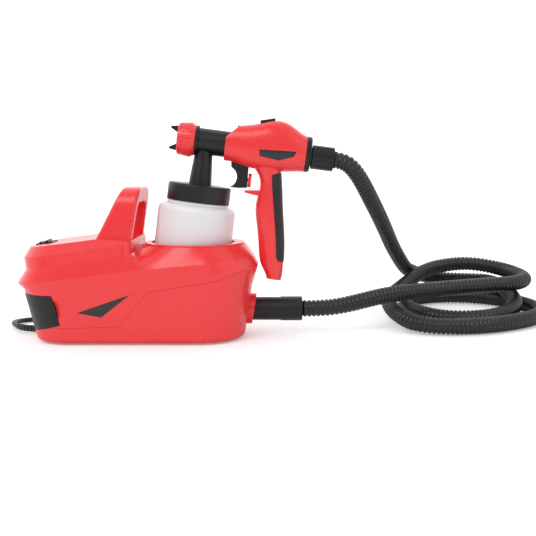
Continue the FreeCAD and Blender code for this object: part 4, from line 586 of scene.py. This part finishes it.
def hose_points():
    """Points of the hose's way: lead, loops on the floor and the rise to the gun's nut."""
    points = [mm(*p) for p in LEAD_ROUTE]
    marks = [(mm(*p), Vector(h).normalized()) for p, h in COIL_MARKS]
    for (p, hp), (q, hq) in zip(marks, marks[1:]):
        points += loop_corners(p, hp, q, hq)
    points += [mm(*p) for p in RISER_ROUTE]
    u, w = NUT_REAR
    return points + [in_gun(u + RISER_RUN, w), in_gun(u, w)]


def cord_points(start, heading):
    """Points of the cord's way: out of its protector, along the floor, in and out of the coil."""
    points = [mm(*start), mm(*(start + heading * CORD_RUN))]
    points += [mm(*p) for p in CORD_ROUTE]
    steps = POINTS_PER_TURN * COIL_TURNS
    outward = 1 / math.cos(math.pi / POINTS_PER_TURN)
    for i in range(2 * steps + 1):
        turns_left = abs(steps - i) / POINTS_PER_TURN
        radius = (COIL_INNER + COIL_PITCH * turns_left) * (outward if 0 < i < 2 * steps else 1)
        angle = -math.pi / 2 + 2 * math.pi * i / POINTS_PER_TURN
        climb = min(1.0, max(0.0, 0.5 + (i - steps) / (POINTS_PER_TURN / 2)))
        spot = Vector((radius * math.cos(angle), radius * math.sin(angle), COIL_Z + COIL_PITCH * climb))
        points.append(mm(*(COIL_MIDDLE + spot)))
    outside = COIL_INNER + COIL_PITCH * COIL_TURNS
    last = COIL_MIDDLE + Vector((2 * CORD_R, -outside, COIL_Z + COIL_PITCH))
    return points + [mm(*(last + Vector(step))) for step in TAIL_STEPS]


def relief_rings(run):
    """Tapering collars of the bend protector with a groove after each but the last."""
    rings = [(0.0, RELIEF_START_R / 1000)]
    for i in range(RELIEF_COLLARS):
        groove = RELIEF_GROOVE if i < RELIEF_COLLARS - 1 else 0.0
        for share, cut_in in ((0.1, 0.0), (0.55, 0.0), (0.65, groove), (0.9, groove), (1.0, 0.0)):
            along = (i + share) / RELIEF_COLLARS
            radius = (RELIEF_START_R + (RELIEF_END_R - RELIEF_START_R) * along) / 1000
            rings.append((along * run, radius - cut_in))
    return rings


class SPRAYER_OT_stage(bpy.types.Operator):
    """Camera at the photographed angle, pale floor and soft lamps"""
    bl_idname = "sprayer.stage"
    bl_label = "Stage"

    def execute(self, context):
        sizes, colours = settings(context)
        context.scene.view_settings.view_transform = "Standard"
        place_camera(context.scene, sizes)
        make_floor(colours)
        make_surroundings(context.scene)
        hang_lamps()
        return {"FINISHED"}


class SPRAYER_OT_hose(bpy.types.Operator):
    """Ribbed air hose from the cuff, through its loops on the floor, up to the gun"""
    bl_idname = "sprayer.hose"
    bl_label = "Air hose"

    def execute(self, context):
        sizes, colours = settings(context)
        route = route_curve("hose_route", hose_points())
        line = line_of(route)
        total = run_length(line)
        count = round(total / sizes.rib_pitch)
        pitch = total / count
        low = sizes.hose_root
        high = sizes.hose_crest
        edge = high - RIB_EDGE
        shape = ((0.0, low), (0.26, low), (0.4, edge), (0.52, high), (0.74, high), (0.86, edge),
                 (1.0, low))
        rings = [(share * pitch, radius) for share, radius in shape]
        rib = mesh_piece("air_hose", lathe(rings, sizes.hose_sides))
        row = rib.modifiers.new("row", "ARRAY")
        row.count = count
        row.use_relative_offset = False
        row.use_constant_offset = True
        row.constant_offset_displace = (pitch, 0, 0)
        row.use_merge_vertices = True
        row.merge_threshold = 0.00002
        hose = bent(rib, route)
        hose.data.materials.append(hose_polyethylene(colours))
        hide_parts("hose_lead", "hose_coil", "hose_riser")
        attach(hose, "base")
        return {"FINISHED"}


class SPRAYER_OT_cord(bpy.types.Operator):
    """Power cord with its bend protector, put away in a neat coil behind the base"""
    bl_idname = "sprayer.cord"
    bl_label = "Power cord"

    def execute(self, context):
        sizes, colours = settings(context)
        heading = Vector((-math.cos(RELIEF_TURN), math.sin(RELIEF_TURN), 0))
        reach = RELIEF_BEND * math.tan(RELIEF_TURN / 2)
        corner = CORD_EXIT - Vector((reach, 0, 0))
        start = corner + heading * reach
        points = cord_points(start, heading)
        bare = route_curve("cord_route", points)
        total = run_length(line_of(bare))
        bpy.data.objects.remove(bare)
        cord = route_curve("power_cord", points, sizes.cord_radius)
        cord.data.materials.append(cord_pvc(colours))

        way = route_curve("relief_route", [mm(*CORD_EXIT), mm(*corner), mm(*start)])
        rings = relief_rings(run_length(line_of(way)))
        protector = bent(mesh_piece("cord_protector", lathe(rings, 32)), way)
        protector.data.materials.append(soft_rubber(colours))

        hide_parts("power_cord_lead", "power_cord_coil", "power_cord_tail")
        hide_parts("strain_relief")
        for piece in (cord, protector):
            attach(piece, "base")
        return {"FINISHED"}


class SPRAYER_OT_plates(bpy.types.Operator):
    """Plain dark plates on the near side of the base and of the gun"""
    bl_idname = "sprayer.plates"
    bl_label = "Dark plates"

    def execute(self, context):
        sizes, colours = settings(context)
        base_side = [mm(x, 0, z) for x, z in BASE_PLATE]
        gun_side = [in_gun(u, w) for u, w in GUN_PLATE]
        for name, source, outline, body in (("base_plate", "upper_housing", base_side, "base"),
                                            ("gun_plate", "gun_shell_near", gun_side, "gun")):
            plate = skin_plate(name, source, outline, sizes.plate_thickness)
            plate.data.materials.append(plate_film(colours))
            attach(plate, body)
        return {"FINISHED"}


class SPRAYER_OT_switch_marks(bpy.types.Operator):
    """Line and ring that mark on and off on the rocker"""
    bl_idname = "sprayer.switch_marks"
    bl_label = "Switch marks"

    def execute(self, context):
        slope = math.atan((ROCKER_PEAK - ROCKER_VALLEY) / ROCKER_REACH)
        turn = Matrix.Rotation(-PANEL_SLOPE - ROCKER_LEAN, 4, "Y")
        bm = bmesh.new()
        for side, mark in ((-1, mark_line), (1, mark_ring)):
            face = Matrix.Translation((side * ROCKER_REACH / 2, 0, (ROCKER_PEAK + ROCKER_VALLEY) / 2))
            lean = Matrix.Rotation(-side * slope, 4, "Y")
            bmesh.ops.transform(bm, matrix=face @ lean, verts=mark(bm))
        place = Matrix.Translation(mm(*ROCKER_PIVOT)) @ turn @ Matrix.Scale(0.001, 4)
        bmesh.ops.transform(bm, matrix=place, verts=bm.verts)
        marks = mesh_piece("switch_marks", bm, False)
        marks.data.materials.append(mark_paint())
        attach(marks, "rocker")
        return {"FINISHED"}


class SPRAYER_OT_finishes(bpy.types.Operator):
    """Finish of every piece that keeps its moulded shape"""
    bl_idname = "sprayer.finishes"
    bl_label = "Finishes"

    def execute(self, context):
        colours = context.scene.sprayer_colours
        paint_nodes(red_abs(colours), (
            "lower_housing", "upper_housing", "carry_handle", "hose_socket", "cup_well",
            "gun_shell_near", "gun_shell_far", "ring_nut", "flow_knob"))
        paint_nodes(black_abs(colours), (
            "filter_cover", "filter_tray", "switch_body", "rocker_switch", "top_strip", "rear_collar",
            "hose_nut", "trigger", "release_button", "cup_lid", "air_cap", "barrel", "hose_plug",
            "hose_cuff", "power_plug"))
        paint_nodes(soft_rubber(colours), ("grip_insert", "feet", "motor_mounts", "lid_gasket"))
        paint_nodes(cup_polyethylene(colours), ("cup", "feed_tube"))
        paint_nodes(filter_sponge(), ("filter_foam",))
        paint_nodes(inner_nylon(), (
            "turbine_scroll", "turbine_lid", "turbine_wheel", "outlet_duct", "brush_holders",
            "hose_spigot"))
        paint_nodes(metal("zinc_plated_steel", "#B9BCC2", rough=0.3, grain=2.0), (
            "housing_screws", "gun_screws", "trigger_pin", "needle", "needle_spring", "rotor_shaft",
            "bearings"))
        paint_nodes(metal("laminated_steel", "#8E9096", rough=0.42, grain=1.0), (
            "armature", "motor_stator", "motor_bracket"))
        paint_nodes(metal("turned_brass", "#C9A35A", rough=0.28, grain=2.0), (
            "nozzle", "packing_nut", "commutator"))
        return {"FINISHED"}


class SPRAYER_PT_panel(bpy.types.Panel):
    """Buttons for the pieces, with their sizes and colours"""
    bl_idname = "SPRAYER_PT_panel"
    bl_label = "Paint Sprayer"
    bl_space_type = "VIEW_3D"
    bl_region_type = "UI"
    bl_category = "Sprayer"

    def draw(self, context):
        for operator in OPERATORS:
            self.layout.operator(operator.bl_idname)
        for group in (context.scene.sprayer_sizes, context.scene.sprayer_colours):
            for name in group.__annotations__:
                self.layout.prop(group, name)


OPERATORS = (SPRAYER_OT_stage, SPRAYER_OT_hose, SPRAYER_OT_cord, SPRAYER_OT_plates,
             SPRAYER_OT_switch_marks, SPRAYER_OT_finishes)
CLASSES = (SprayerSizes, SprayerColours) + OPERATORS + (SPRAYER_PT_panel,)


def register():
    for cls in CLASSES:
        bpy.utils.register_class(cls)
    bpy.types.Scene.sprayer_sizes = PointerProperty(type=SprayerSizes)
    bpy.types.Scene.sprayer_colours = PointerProperty(type=SprayerColours)


def unregister():
    del bpy.types.Scene.sprayer_colours
    del bpy.types.Scene.sprayer_sizes
    for cls in reversed(CLASSES):
        bpy.utils.unregister_class(cls)


def main():
    register()
    bpy.ops.sprayer.stage()
    bpy.ops.sprayer.hose()
    bpy.ops.sprayer.cord()
    bpy.ops.sprayer.plates()
    bpy.ops.sprayer.switch_marks()
    bpy.ops.sprayer.finishes()


if __name__ == "__main__":
    main()
